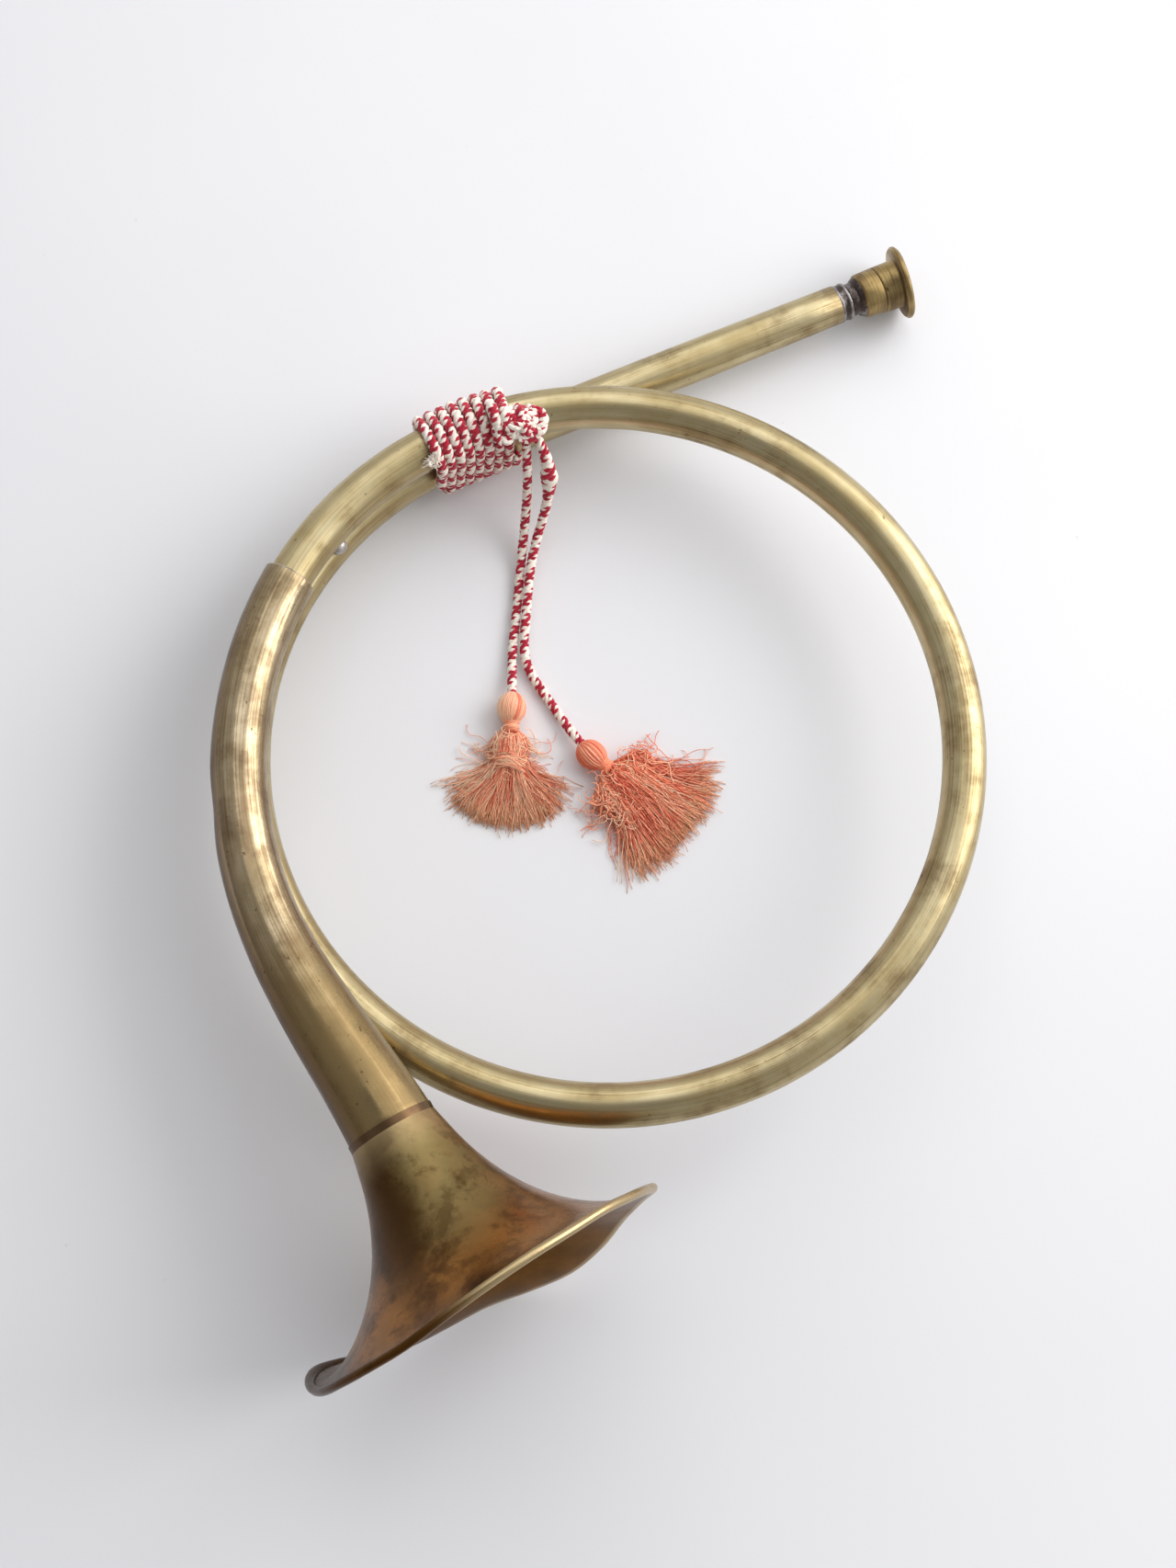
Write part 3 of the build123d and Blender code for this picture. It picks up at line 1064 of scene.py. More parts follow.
@dataclass
class BellStem:
    """The conical stem that leaves the coil for the bell, and its two seams."""

    finishes: Finishes
    shares: Tuple[float, ...] = (0.0, 0.2, 0.4, 0.6, 0.8, 1.0)
    radii: Tuple[float, ...] = (9.7, 9.8, 10.3, 11.2, 13.4, 15.7)
    bends: Tuple[Point, ...] = ((-130.2, 12.0, 22.6), (-131.3, -18.0, 23.6), (-121.8, -62.0, 24.6))
    throat: Point = (-80.6, -137.0, 24.9)
    bell_heading: float = -62.0
    segments: int = 64
    rings: int = 72
    dent_at: Point = (-141.5, -22.0, 24.0)
    dent_depth: float = 0.9
    dent_width: float = 11.0
    dent_way: Point = (1.0, 0.05, 0.0)

    def line(self) -> np.ndarray:
        """Centre line in the coil's frame, in millimetres, evenly spaced.

        Returns:
            The points.
        """
        knots = [COIL.point(COIL.end), *map(Vector, self.bends), Vector(self.throat)]
        turn = math.radians(self.bell_heading)
        ends = (COIL.heading(COIL.end), Vector((math.cos(turn), math.sin(turn), 0.0)))
        return smooth_line(knots, ends, self.rings + 1)

    def radius(self, share: float) -> float:
        """Outer radius at a share of the length, in millimetres."""
        return float(smooth_value(share, self.shares, self.radii))

    def build(self) -> None:
        """Builds the stem and its solder."""
        line = self.line()
        length = length_of(line)
        shares = np.linspace(0.0, 1.0, self.rings + 1)
        outer = [(self.radius(share), share * length) for share in shares]
        inner = [(radius - COIL.wall, height) for radius, height in reversed(outer)]
        piece = Bench.turn("stem", outer + inner, self.segments, 0.12)
        Bench.note_tube(piece, length * MM)
        bend_along(piece, line)
        self.dent(piece)
        Bench.settle(piece, COIL.rest())
        dress(piece, self.finishes.stem, Body.HORN, ["bell_stem"])
        keep_node("stem_solder", self.finishes.solder)
        keep_node("bell_braze_seam", self.finishes.stem)

    def dent(self, piece: bpy.types.Object) -> None:
        """Presses a shallow old dent into the outer side of the stem.

        Args:
            piece: the piece.
        """
        centre = Vector(self.dent_at) * MM
        for vertex in piece.data.vertices:
            away = (vertex.co - centre).length / (self.dent_width * MM)
            vertex.co += Vector(self.dent_way) * (self.dent_depth * MM * math.exp(-away ** 2))


def hermite(part: np.ndarray, span: np.ndarray, low: Tuple[np.ndarray, np.ndarray],
            high: Tuple[np.ndarray, np.ndarray]) -> np.ndarray:
    """Cubic between two places.

    Args:
        part: share of the way between them.
        span: distance between them.
        low: value and slope at the first.
        high: value and slope at the second.

    Returns:
        The value at that share.
    """
    squared, cubed = part ** 2, part ** 3
    return ((2 * cubed - 3 * squared + 1) * low[0] + (cubed - 2 * squared + part) * span * low[1]
            + (3 * squared - 2 * cubed) * high[0] + (cubed - squared) * span * high[1])


def smooth_value(share: float, places: Sequence[float], values: Sequence[float]) -> float:
    """Smooth value at a share between given places.

    Args:
        share: where the value is wanted.
        places: rising places of the known values.
        values: the known values.

    Returns:
        The value.
    """
    slopes = np.gradient(np.array(values), np.array(places))
    cell = int(np.clip(np.searchsorted(places, share, side="right") - 1, 0, len(places) - 2))
    span = places[cell + 1] - places[cell]
    part = (share - places[cell]) / span
    return hermite(part, span, (values[cell], slopes[cell]), (values[cell + 1], slopes[cell + 1]))


def smooth_line(knots: Sequence[Vector], ends: Tuple[Vector, Vector], count: int) -> np.ndarray:
    """Even points on a natural-looking curve through knots with given end directions.

    Args:
        knots: the points that the curve passes through.
        ends: its directions at the first and the last knot.
        count: how many points are wanted.

    Returns:
        The points, one a row.
    """
    corners = np.array([tuple(knot) for knot in knots])
    chords = np.linalg.norm(np.diff(corners, axis=0), axis=1)
    size = len(corners)
    matrix = np.zeros((size, size))
    right = np.zeros((size, 3))
    matrix[0, 0] = matrix[-1, -1] = 1.0
    right[0], right[-1] = np.array(ends[0]), np.array(ends[1])
    for row in range(1, size - 1):
        before, after = chords[row - 1], chords[row]
        matrix[row, row - 1:row + 2] = [after, 2 * (before + after), before]
        right[row] = 3 * (after * (corners[row] - corners[row - 1]) / before
                          + before * (corners[row + 1] - corners[row]) / after)
    slopes = np.linalg.solve(matrix, right)
    dense = []
    for cell in range(size - 1):
        part = np.linspace(0.0, 1.0, 60, endpoint=cell == size - 2)[:, None]
        dense.append(hermite(part, chords[cell], (corners[cell], slopes[cell]),
                             (corners[cell + 1], slopes[cell + 1])))
    return even(np.concatenate(dense), count)


def length_of(line: np.ndarray) -> float:
    """Length of a polyline."""
    return float(np.linalg.norm(np.diff(line, axis=0), axis=1).sum())


def distances(line: np.ndarray) -> np.ndarray:
    """Distance along a polyline at each of its points."""
    return np.concatenate([[0.0], np.cumsum(np.linalg.norm(np.diff(line, axis=0), axis=1))])


def even(line: np.ndarray, count: int) -> np.ndarray:
    """Points spaced evenly along a polyline.

    Args:
        line: the line, one point a row.
        count: how many points are wanted.

    Returns:
        The points.
    """
    steps = distances(line)
    wanted = np.linspace(0.0, steps[-1], count)
    return np.stack([np.interp(wanted, steps, line[:, axis]) for axis in range(3)], axis=1)


def frames_along(line: np.ndarray) -> Tuple[np.ndarray, np.ndarray, np.ndarray]:
    """Tangents, and two directions across that don't twist, at each point of a line.

    Args:
        line: the line, one point a row.

    Returns:
        The tangents and the two directions, each one a row.
    """
    tangent = np.gradient(line, axis=0)
    tangent /= np.linalg.norm(tangent, axis=1, keepdims=True)
    helper = np.array([0.0, 0.0, 1.0]) if abs(tangent[0, 2]) < 0.9 else np.array([1.0, 0.0, 0.0])
    normal = np.cross(tangent[0], helper)
    normals = []
    for now in tangent:
        normal = normal - normal.dot(now) * now
        normal /= np.linalg.norm(normal)
        normals.append(normal)
    normals = np.array(normals)
    return tangent, normals, np.cross(tangent, normals)


def bend_along(piece: bpy.types.Object, line: np.ndarray) -> None:
    """Carries a straight piece that stands on +Z onto a line.

    Args:
        piece: the piece, its height in metres running from 0 to the line's length.
        line: the line in millimetres.
    """
    _, normal, across = frames_along(line)
    steps = distances(line) * MM
    points = Bench.places(piece)
    bent = np.zeros_like(points)
    for axis in range(3):
        centre = np.interp(points[:, 2], steps, line[:, axis] * MM)
        side = np.interp(points[:, 2], steps, normal[:, axis])
        other = np.interp(points[:, 2], steps, across[:, axis])
        bent[:, axis] = centre + points[:, 0] * side + points[:, 1] * other
    Bench.move(piece, bent)


# ---------------------------------------------------------------- bell
@dataclass
class Bell:
    """The spun flare with its rolled edge, knocked out of round by use.

    set_ahead and set_out give how far the rim is knocked ahead and outwards, by the angle round the bell:
    0 is its left, 90 its top and 180 its right, as seen along the stem from behind.
    """

    finishes: Finishes
    stem: BellStem
    wall: float = 0.9
    stations: Outline = field(default_factory=lambda: [
        (15.3, 0.0), (19.0, 16.0), (24.3, 30.0), (32.2, 43.0), (41.6, 53.0), (51.8, 60.0), (63.6, 64.0)])
    roll_r: float = 1.15
    wire_r: float = 0.7
    edge: float = 64.6
    knocked_from: float = 36.0
    curled_from: float = 52.0
    curl_at: float = 190.0
    curl_width: float = 26.0
    sheet_points: int = 34
    roll_points: int = 10
    roll_step: float = 30.0
    segments: int = 180
    set_ahead: Tuple[Tuple[float, float], ...] = (
        (0, -0.5), (15, -0.3), (30, 0.0), (45, 0.0), (60, 0.9), (75, 1.6), (90, 2.7), (105, 4.0), (120, 5.2),
        (135, 4.7), (150, 3.6), (160, 2.6), (168, 1.2), (176, -1.4), (184, -4.4), (192, -6.6), (200, -7.4),
        (210, -6.6), (225, -3.6), (240, -1.2), (255, -0.4), (270, 0.4), (285, 3.6), (300, 5.8), (315, 4.2),
        (330, 0.7), (345, -0.6), (360, -0.5))
    set_out: Tuple[Tuple[float, float], ...] = (
        (0, 2.6), (12, 0.6), (25, 0.0), (150, 0.0), (165, 0.4), (180, 1.2), (195, 0.6), (210, 0.0),
        (335, 0.0), (350, 1.0), (360, 2.6))

    def middle(self) -> Tuple[np.ndarray, np.ndarray]:
        """Middle of the sheet with its roll, and the roll's centre, in the radius and height plane.

        Returns:
            The points, and the centre.
        """
        knots = [Vector((radius, 0.0, height)) for radius, height in self.stations]
        first = (knots[1] - knots[0]).normalized()
        last = Vector((0.97, 0.0, 0.24)).normalized()
        line = smooth_line(knots, (first, last), self.sheet_points)
        out = np.array([last.x, 0.0, last.z])
        back = np.array([out[2], 0.0, -out[0]])
        centre = line[-1] + back * self.roll_r
        roll = []
        for turn in range(1, self.roll_points + 1):
            angle = math.radians(self.roll_step * turn)
            roll.append(centre + (out * math.sin(angle) - back * math.cos(angle)) * self.roll_r)
        return np.concatenate([line, np.array(roll)]), centre

    def outline(self) -> Outline:
        """Closed section of the sheet and its roll, radius and height in millimetres.

        Returns:
            The outline.
        """
        middle, _ = self.middle()
        along = np.gradient(middle, axis=0)
        along /= np.linalg.norm(along, axis=1, keepdims=True)
        side = np.stack([along[:, 2], along[:, 1] * 0, -along[:, 0]], axis=1) * self.wall / 2
        closed = np.concatenate([middle + side, (middle - side)[::-1]])
        return [(float(point[0]), float(point[2])) for point in closed]

    def build(self) -> None:
        """Builds the flare and the wire in its rim."""
        turn = math.radians(self.stem.bell_heading)
        seat = self.seat(Vector((math.cos(turn), math.sin(turn), 0.0)))
        piece = Bench.turn("flare", self.outline(), self.segments, 0.0)
        points = Bench.places(piece)
        radius = np.hypot(points[:, 0], points[:, 1]) / MM
        middle, centre = self.middle()
        sheet = np.interp(radius, middle[:self.sheet_points, 0], middle[:self.sheet_points, 2])
        bead = np.hypot(radius - centre[0], points[:, 2] / MM - centre[2]) < self.roll_r + self.wall
        inside = (points[:, 2] / MM > sheet) & ~bead
        Bench.note(piece, across=points[:, 0], rise=points[:, 1], ahead=points[:, 2],
                   inside=inside * 1.0, bead=bead * 1.0)
        self.batter(piece)
        Bench.settle(piece, seat)
        Bench.smooth(piece, 70.0)
        dress(piece, self.finishes.bell, Body.HORN, ["bell_flare"])
        ring = [(centre[0] + self.wire_r * math.cos(math.radians(angle)),
                 centre[2] + self.wire_r * math.sin(math.radians(angle))) for angle in range(0, 360, 45)]
        wire = Bench.turn("rim_wire", ring, self.segments, 0.0)
        self.batter(wire)
        Bench.settle(wire, seat)
        Bench.smooth(wire, 70.0)
        dress(wire, self.finishes.wire, Body.HORN, ["bell_rim_wire"])

    def seat(self, direction: Vector) -> Matrix:
        """Matrix of the flare: local Y is up from the surface, X across and Z along the bell.

        Args:
            direction: where the bell points.

        Returns:
            The matrix.
        """
        up = Vector(UP)
        side = up.cross(direction).normalized()
        turn = Matrix((side, up, direction)).transposed().to_4x4()
        return COIL.rest() @ Matrix.Translation(Vector(self.stem.throat) * MM) @ turn

    def batter(self, piece: bpy.types.Object) -> None:
        """Knocks the rim out of its plane and out of round, in the flare's own frame.

        Args:
            piece: the piece.
        """
        points = Bench.places(piece) / MM
        radius = np.hypot(points[:, 0], points[:, 1])
        angle = np.degrees(np.arctan2(points[:, 1], points[:, 0])) % 360.0
        ahead = curve_through(angle, self.set_ahead)
        out = curve_through(angle, self.set_out)
        near_curl = np.exp(-(((angle - self.curl_at) / self.curl_width) ** 2))
        broad = smoothstep((radius - self.knocked_from) / (self.edge - self.knocked_from)) ** 1.4
        sharp = smoothstep((radius - self.curled_from) / (self.edge - self.curled_from)) ** 1.2
        share = broad * (1.0 - near_curl) + sharp * near_curl
        points[:, 2] += ahead * share
        points[:, 0] *= 1.0 + out * share / radius
        points[:, 1] *= 1.0 + out * share / radius
        Bench.move(piece, points * MM)


def curve_through(value: np.ndarray, rows: Sequence[Tuple[float, float]]) -> np.ndarray:
    """Smooth values between rows of place and value.

    Args:
        value: the places asked for.
        rows: rows of place and value, the first and the last alike.

    Returns:
        The values.
    """
    places, heights = np.array(rows).T
    slopes = np.gradient(heights, places)
    slopes[0] = slopes[-1] = 0.5 * (slopes[0] + slopes[-1])
    cell = np.clip(np.searchsorted(places, value, side="right") - 1, 0, len(places) - 2)
    span = places[cell + 1] - places[cell]
    part = (value - places[cell]) / span
    return hermite(part, span, (heights[cell], slopes[cell]), (heights[cell + 1], slopes[cell + 1]))


# ---------------------------------------------------------------- mouthpiece
@dataclass
class Mouthpiece:
    """Ferrule, shank, solder, cup and rim, turned about the mouthpipe's axis. Millimetres and degrees.

    askew, lean and forward set the flange, and droop is how far the whole mouthpiece bends inwards.
    """

    finishes: Finishes
    tubing: Tubing
    collar_length: float = 4.3
    collar_r: float = 7.4
    groove: float = 0.35
    spigot: float = 16.0
    shank_depth: float = 15.0
    shank_r: float = 5.6
    tip_r: float = 5.1
    fit: float = 0.05
    gap: float = 0.3
    neck_r: float = 6.4
    neck_length: float = 5.0
    cup_length: float = 14.2
    seam: float = 8.0
    back_r: float = 8.6
    front_r: float = 9.4
    flange_r: float = 14.2
    flange_thick: float = 2.8
    round_r: float = 0.9
    bore_r: float = 2.2
    mouth_r: float = 8.7
    ledge: float = 0.9
    scribe: float = 0.4
    segments: int = 80
    broken_edge: float = 0.1
    askew: float = 6.5
    lean: float = 7.0
    forward: float = 2.6
    droop: float = 2.5

    def seat(self) -> Matrix:
        """Matrix of the pipe's end."""
        origin, direction = COIL.mouth()
        return COIL.facing(origin + direction * self.tubing.mouthpipe_length, direction)

    def bore(self, place: float) -> float:
        """Radius of the ferrule's tapered bore."""
        share = (self.collar_length - place) / (self.collar_length + self.shank_depth)
        return self.shank_r + (self.tip_r - self.shank_r) * share + self.fit

    def collar(self) -> Outline:
        """Section of the ferrule.

        Returns:
            The outline.
        """
        sleeve = self.tubing.mouthpipe_end_r - COIL.wall - 0.05
        low, length = self.collar_r - self.groove, self.collar_length
        bead = length / 5
        return [(self.bore(-self.spigot), -self.spigot), (sleeve, -self.spigot), (sleeve, 0.0),
                (self.collar_r, 0.0), (self.collar_r, bead), (low, bead * 1.4), (low, bead * 3.6),
                (self.collar_r, bead * 4), (self.collar_r, length), (self.bore(length), length)]

    def shank(self) -> Outline:
        """Section of the shank and neck.

        Returns:
            The outline.
        """
        shoulder = self.collar_length + self.gap
        top = shoulder + self.neck_length
        return [(self.bore_r, top), (self.bore_r, 0.0), (self.tip_r - 0.8, -self.shank_depth),
                (self.tip_r, -self.shank_depth), (self.shank_r, shoulder), (self.neck_r - 0.4, shoulder),
                (self.neck_r, shoulder + 0.4), (self.neck_r, top)]

    def fillet(self, back: float) -> Outline:
        """Section of the solder behind the cup."""
        return [(self.neck_r, back - 2.0), (self.neck_r + 0.8, back - 1.2), (self.back_r - 0.9, back - 0.3),
                (self.back_r - 0.7, back), (self.neck_r, back)]

    def seam_radius(self) -> float:
        """Radius of the cup at its scribed seam."""
        return self.back_r + (self.front_r - self.back_r) * self.seam / self.cup_length

    def cup(self, back: float) -> Outline:
        """Section of the cup's back half.

        Args:
            back: how far the cup's back is from the pipe's end, in millimetres.

        Returns:
            The outline.
        """
        seam = back + self.seam
        radius = self.seam_radius()
        return [(self.bore_r, back), (self.back_r - 0.7, back), (self.back_r, back + 0.8),
                (radius, seam - self.scribe / 2), (radius - self.scribe, seam),
                (self.mouth_r - self.ledge, seam), (self.mouth_r - 1.6, seam - 2.2),
                (self.mouth_r - 3.6, seam - 4.4), (self.bore_r, back + 1.6)]

    def rim(self, back: float) -> Outline:
        """Section of the cup's front half and the flange.

        Args:
            back: how far the cup's back is from the pipe's end, in millimetres.

        Returns:
            The outline.
        """
        seam, step = back + self.seam, back + self.cup_length
        radius = self.seam_radius()
        face, edge = step + self.flange_thick, self.flange_r - self.round_r
        return [(self.mouth_r - self.ledge, seam), (radius - self.scribe, seam),
                (radius, seam + self.scribe / 2), (self.front_r, step),
                (edge, step), (self.flange_r, step + self.round_r), (self.flange_r, face - self.round_r),
                (edge, face), (self.mouth_r + 0.8, face), (self.mouth_r + 0.15, face - 0.5),
                (self.mouth_r - 0.2, face - 1.4)]

    def build(self) -> None:
        """Builds the five turned pieces."""
        back = self.collar_length + self.gap + self.neck_length
        look = self.finishes
        rows = [("collar", self.collar(), look.neck, Slot.NECK, Body.HORN, "receiver_collar"),
                ("shank", self.shank(), look.neck, Slot.NECK, Body.MOUTHPIECE, "mouthpiece_shank"),
                ("neck_fillet", self.fillet(back), look.neck, Slot.SOLDER, Body.MOUTHPIECE,
                 "mouthpiece_neck_solder"),
                ("cup_back", self.cup(back), look.mouthpiece, Slot.MOUTHPIECE, Body.MOUTHPIECE,
                 "mouthpiece_cup"),
                ("cup_rim", self.rim(back), look.mouthpiece, Slot.MOUTHPIECE, Body.MOUTHPIECE,
                 "mouthpiece_rim")]
        for name, outline, material, slot, body, node in rows:
            piece = Bench.turn(name, outline, self.segments, self.broken_edge)
            Bench.note_tube(piece, self.cup_length * MM)
            points = Bench.places(piece)
            ridge = (np.hypot(points[:, 0], points[:, 1]) > (self.collar_r - 0.1) * MM) * (name == "collar")
            Bench.note(piece, ridge=ridge * 1.0)
            self.sag(piece)
            Bench.settle(piece, self.seat())
            if name == "cup_rim":
                self.tilt(piece, back + self.cup_length)
            dress(piece, material, body, [node])

    def sag(self, piece: bpy.types.Object) -> None:
        """Leans what stands out of the pipe a little off its axis, to the inside of the coil.

        Args:
            piece: the piece.
        """
        inwards = self.seat().to_3x3().inverted() @ (COIL.rest().to_3x3() @ -COIL.point(COIL.start))
        inwards.z = 0.0
        inwards.normalize()
        for vertex in piece.data.vertices:
            vertex.co += inwards * max(0.0, vertex.co.z) * math.tan(math.radians(self.droop))

    def tilt(self, piece: bpy.types.Object, step: float) -> None:
        """Turns and leans the flange, which sits a little askew on its cup, and draws it forward.

        Args:
            piece: the cup's front with its flange, in its place.
            step: how far the flange's back is from the pipe's end, in millimetres.
        """
        origin, direction = COIL.mouth()
        centre = COIL.rest() @ ((origin + direction * (self.tubing.mouthpipe_length + step)) * MM)
        axis = (COIL.rest().to_3x3() @ direction).normalized()
        side = axis.cross(Vector(UP)).normalized()
        turn = (Matrix.Rotation(math.radians(self.lean), 3, side)
                @ Matrix.Rotation(math.radians(-self.askew), 3, "Z"))
        for vertex in piece.data.vertices:
            away = vertex.co - centre
            share = min(1.0, max(0.0, (away.dot(axis) / MM + 2.5) / 2.2))
            vertex.co = vertex.co.lerp(centre + turn @ away + axis * self.forward * MM, share)


# ---------------------------------------------------------------- twisted cord
@dataclass
class TwistedCord:
    """Four plies laid round a line: white with slubs, mixed, crimson and mixed. Millimetres.

    A row of plies is its angle in radians, its share of the radius, and 0 for white, 0.5 for mixed or 1 for
    crimson.
    """

    radius: float
    lay: float
    step: float = 0.55
    sides: int = 8
    plies: Tuple[Point, ...] = ((0.0, 0.52, 0.0), (1.75, 0.43, 0.5), (3.25, 0.42, 1.0), (4.75, 0.42, 0.5))

    def lay_up(self, threads: Threads, line: np.ndarray, phase: float,
               swell: Sequence[Point] = ()) -> None:
        """Lays the plies along a line.

        Args:
            threads: the bundle that they are added to.
            line: the cord's centre line in metres.
            phase: where the twist starts, in radians.
            swell: factor on the cord's radius at places along the line, as rows of place, width, factor.
        """
        length = length_of(line)
        count = max(12, int(length / (self.step * MM)))
        line = even(line, count)
        _, normal, across = frames_along(line)
        along = np.linspace(0.0, length, count)
        scale = np.ones(count)
        for place, width, factor in swell:
            scale += (factor - 1.0) * np.exp(-(((along - place) / width) ** 2))
        for offset, share, kind in self.plies:
            angle = phase + offset + along * 2 * math.pi / (self.lay * MM)
            slub = 1.0
            if kind == 0.0:
                slub = 1.0 + 0.16 * np.sin(angle * 0.73 + phase) + 0.12 * np.sin(angle * 1.31 + offset)
            own = self.radius * MM * share * slub * scale
            reach = self.radius * MM * scale - self.radius * MM * share * scale
            out = normal * np.cos(angle)[:, None] + across * np.sin(angle)[:, None]
            self.tube(threads, line + out * reach[:, None], own * np.ones(count), along, kind)

    def tube(self, threads: Threads, centre: np.ndarray, radii: np.ndarray, along: np.ndarray,
             kind: float) -> None:
        """Adds one ply.

        Args:
            threads: the bundle that it is added to.
            centre: its centre line.
            radii: its radius at each point.
            along: distance along the cord at each point.
            kind: 0 white, 0.5 mixed, 1 crimson.
        """
        count = len(centre)
        shape = (1, count, self.sides)
        around = np.broadcast_to(np.arange(self.sides)[None, None, :] * 2 * math.pi / self.sides, shape)
        threads.add(centre[None], radii[None], self.sides, ply=np.full((1, count), kind), along=along[None],
                    side=np.cos(around), top=np.sin(around))


def nurbs_line(points: Sequence[Point], name: str) -> np.ndarray:
    """Points of the smooth curve that a cord's route gives.

    Args:
        points: the route in metres.
        name: name of the curve, which isn't kept.

    Returns:
        Dense points in metres.
    """
    curve = bpy.data.curves.new(name, "CURVE")
    curve.dimensions = "3D"
    curve.resolution_u = 24
    spline = curve.splines.new("NURBS")
    spline.points.add(len(points) - 1)
    for knot, point in zip(spline.points, points):
        knot.co = (*point, 1.0)
    spline.order_u = 3
    spline.use_endpoint_u = True
    holder = bpy.data.objects.new(name, curve)
    bpy.context.scene.collection.objects.link(holder)
    bpy.context.view_layer.update()
    mesh = bpy.data.meshes.new_from_object(holder)
    line = np.array([tuple(vertex.co) for vertex in mesh.vertices])
    bpy.data.objects.remove(holder)
    bpy.data.curves.remove(curve)
    bpy.data.meshes.remove(mesh)
    return line


@dataclass
class Wrapping:
    """The cord's eight turns round both tubes, its frayed end and the knot. Millimetres and degrees."""

    finishes: Finishes
    turns: int = 8
    step: float = 4.2
    first: float = 118.2
    cord_r: float = 2.15
    clear: float = 0.25
    points_a_turn: int = 48
    ply_lay: float = 9.05
    ply_reach: float = 2.12
    cut_point: int = 10
    cut_ahead: float = 3.1
    fibres: int = 260
    fibre_r: float = 0.2
    knot_angle: float = 103.3
    knot_in: float = 6.0
    knot_up: float = 9.6

    def lower_reach(self, angle: float) -> float:
        """Distance of the lower tube from the coil's axis: the coil's radius, then the straight pipe's."""
        return COIL.radius / math.cos(math.radians(max(0.0, COIL.start - angle)))

    def winding(self) -> np.ndarray:
        """Centre line of the turns in metres, in the resting frame.

        Returns:
            The points.
        """
        reach = COIL.tube_r + self.cord_r + self.clear
        rows = []
        for place in range(self.turns * self.points_a_turn + 1):
            share = place / self.points_a_turn
            angle = self.first - self.step * share / math.radians(COIL.radius)
            low = (self.lower_reach(angle) - COIL.radius, 0.0)
            high = (0.0, COIL.pitch)
            rows.append(self.around(share % 1.0, angle, low, high, reach))
        line = np.array(rows)
        rest = np.array(COIL.rest())
        return line @ rest[:3, :3].T * MM + rest[:3, 3]

    def around(self, share: float, angle: float, low: Tuple[float, float], high: Tuple[float, float],
               reach: float) -> Tuple[float, float, float]:
        """Point of the band that holds two tubes, at a share of one turn.

        Args:
            share: 0 at the inner side, rising over the top.
            angle: coil angle.
            low: lower tube's centre, out from and above the coil's point.
            high: upper tube's centre.
            reach: the band's distance from the tubes' centres.

        Returns:
            The point in the coil's frame, in millimetres.
        """
        arc = math.pi * reach
        lean = math.atan2(low[0] - high[0], high[1] - low[1])
        run = math.hypot(high[0] - low[0], high[1] - low[1])
        whole = 2 * arc + 2 * run
        place = (share * whole + 0.25 * run) % whole
        if place < run:
            x, z = self.side(low, math.pi, lean, reach, place)
        elif place < run + arc:
            turn = math.pi - (place - run) / reach
            x, z = self.side(high, turn, lean, reach, 0.0)
        elif place < 2 * run + arc:
            x, z = self.side(high, 0.0, lean, reach, -(place - run - arc))
        else:
            turn = -(place - 2 * run - arc) / reach
            x, z = self.side(low, turn, lean, reach, 0.0)
        spoke = COIL.point(angle, COIL.radius + x)
        return (spoke.x, spoke.y, spoke.z + z)

    @staticmethod
    def side(centre: Tuple[float, float], turn: float, lean: float, reach: float,
             travel: float) -> Tuple[float, float]:
        """Point on a band round a centre, moved along the band's straight side.

        Args:
            centre: the centre, out from and above the coil's point.
            turn: angle round the centre in radians.
            lean: how far the band leans over, in radians.
            reach: the band's distance from the centre.
            travel: how far the point is moved along the side.

        Returns:
            The point, out from and above the coil's point.
        """
        axis = (-math.sin(lean), math.cos(lean))
        out = (math.cos(turn + lean), math.sin(turn + lean))
        return (centre[0] + out[0] * reach + axis[0] * travel,
                centre[1] + out[1] * reach + axis[1] * travel)

    def build(self) -> None:
        """Builds the winding and the knot."""
        cord = TwistedCord(self.ply_reach, self.ply_lay)
        bundle = Threads("cord_winding")
        line = self.winding()
        cord.lay_up(bundle, line, 0.3)
        onwards = np.array(COIL.rest().to_3x3() @ COIL.heading(self.first))
        self.fray(bundle, line[self.cut_point] + onwards * self.cut_ahead * MM, onwards)
        dress(bundle.make(), self.finishes.cord, Body.HORN, ["cord_wrap"])
        knot = Threads("cord_knot_loops")
        for index, points in enumerate(self.loops()):
            cord.lay_up(knot, nurbs_line(points, f"loop_{index}"), index * 1.3)
        dress(knot.make(), self.finishes.cord, Body.HORN, ["cord_knot"])

    def fray(self, threads: Threads, place: np.ndarray, direction: np.ndarray) -> None:
        """Adds the loose white fibres of the cord's cut end.

        Args:
            threads: the bundle that they are added to.
            place: the cord's end in metres.
            direction: where the cord would go on.
        """
        random = np.random.default_rng(SEED + 7)
        count, length = self.fibres, 7
        share = np.linspace(0.0, 1.0, length)[None, :, None]
        spread = random.normal(0.0, 0.6, (count, 1, 3))
        start = place - direction * 1.2 * MM + random.normal(0.0, 0.8, (count, 1, 3)) * MM
        reach = random.uniform(0.5, 1.4, (count, 1, 1)) * MM
        lines = start + (direction * 0.7 + spread * (0.5 + share)) * share * reach
        plain = np.zeros((count, length))
        threads.add(lines, plain + self.fibre_r * MM, 4, ply=plain, along=plain, side=plain, top=plain)

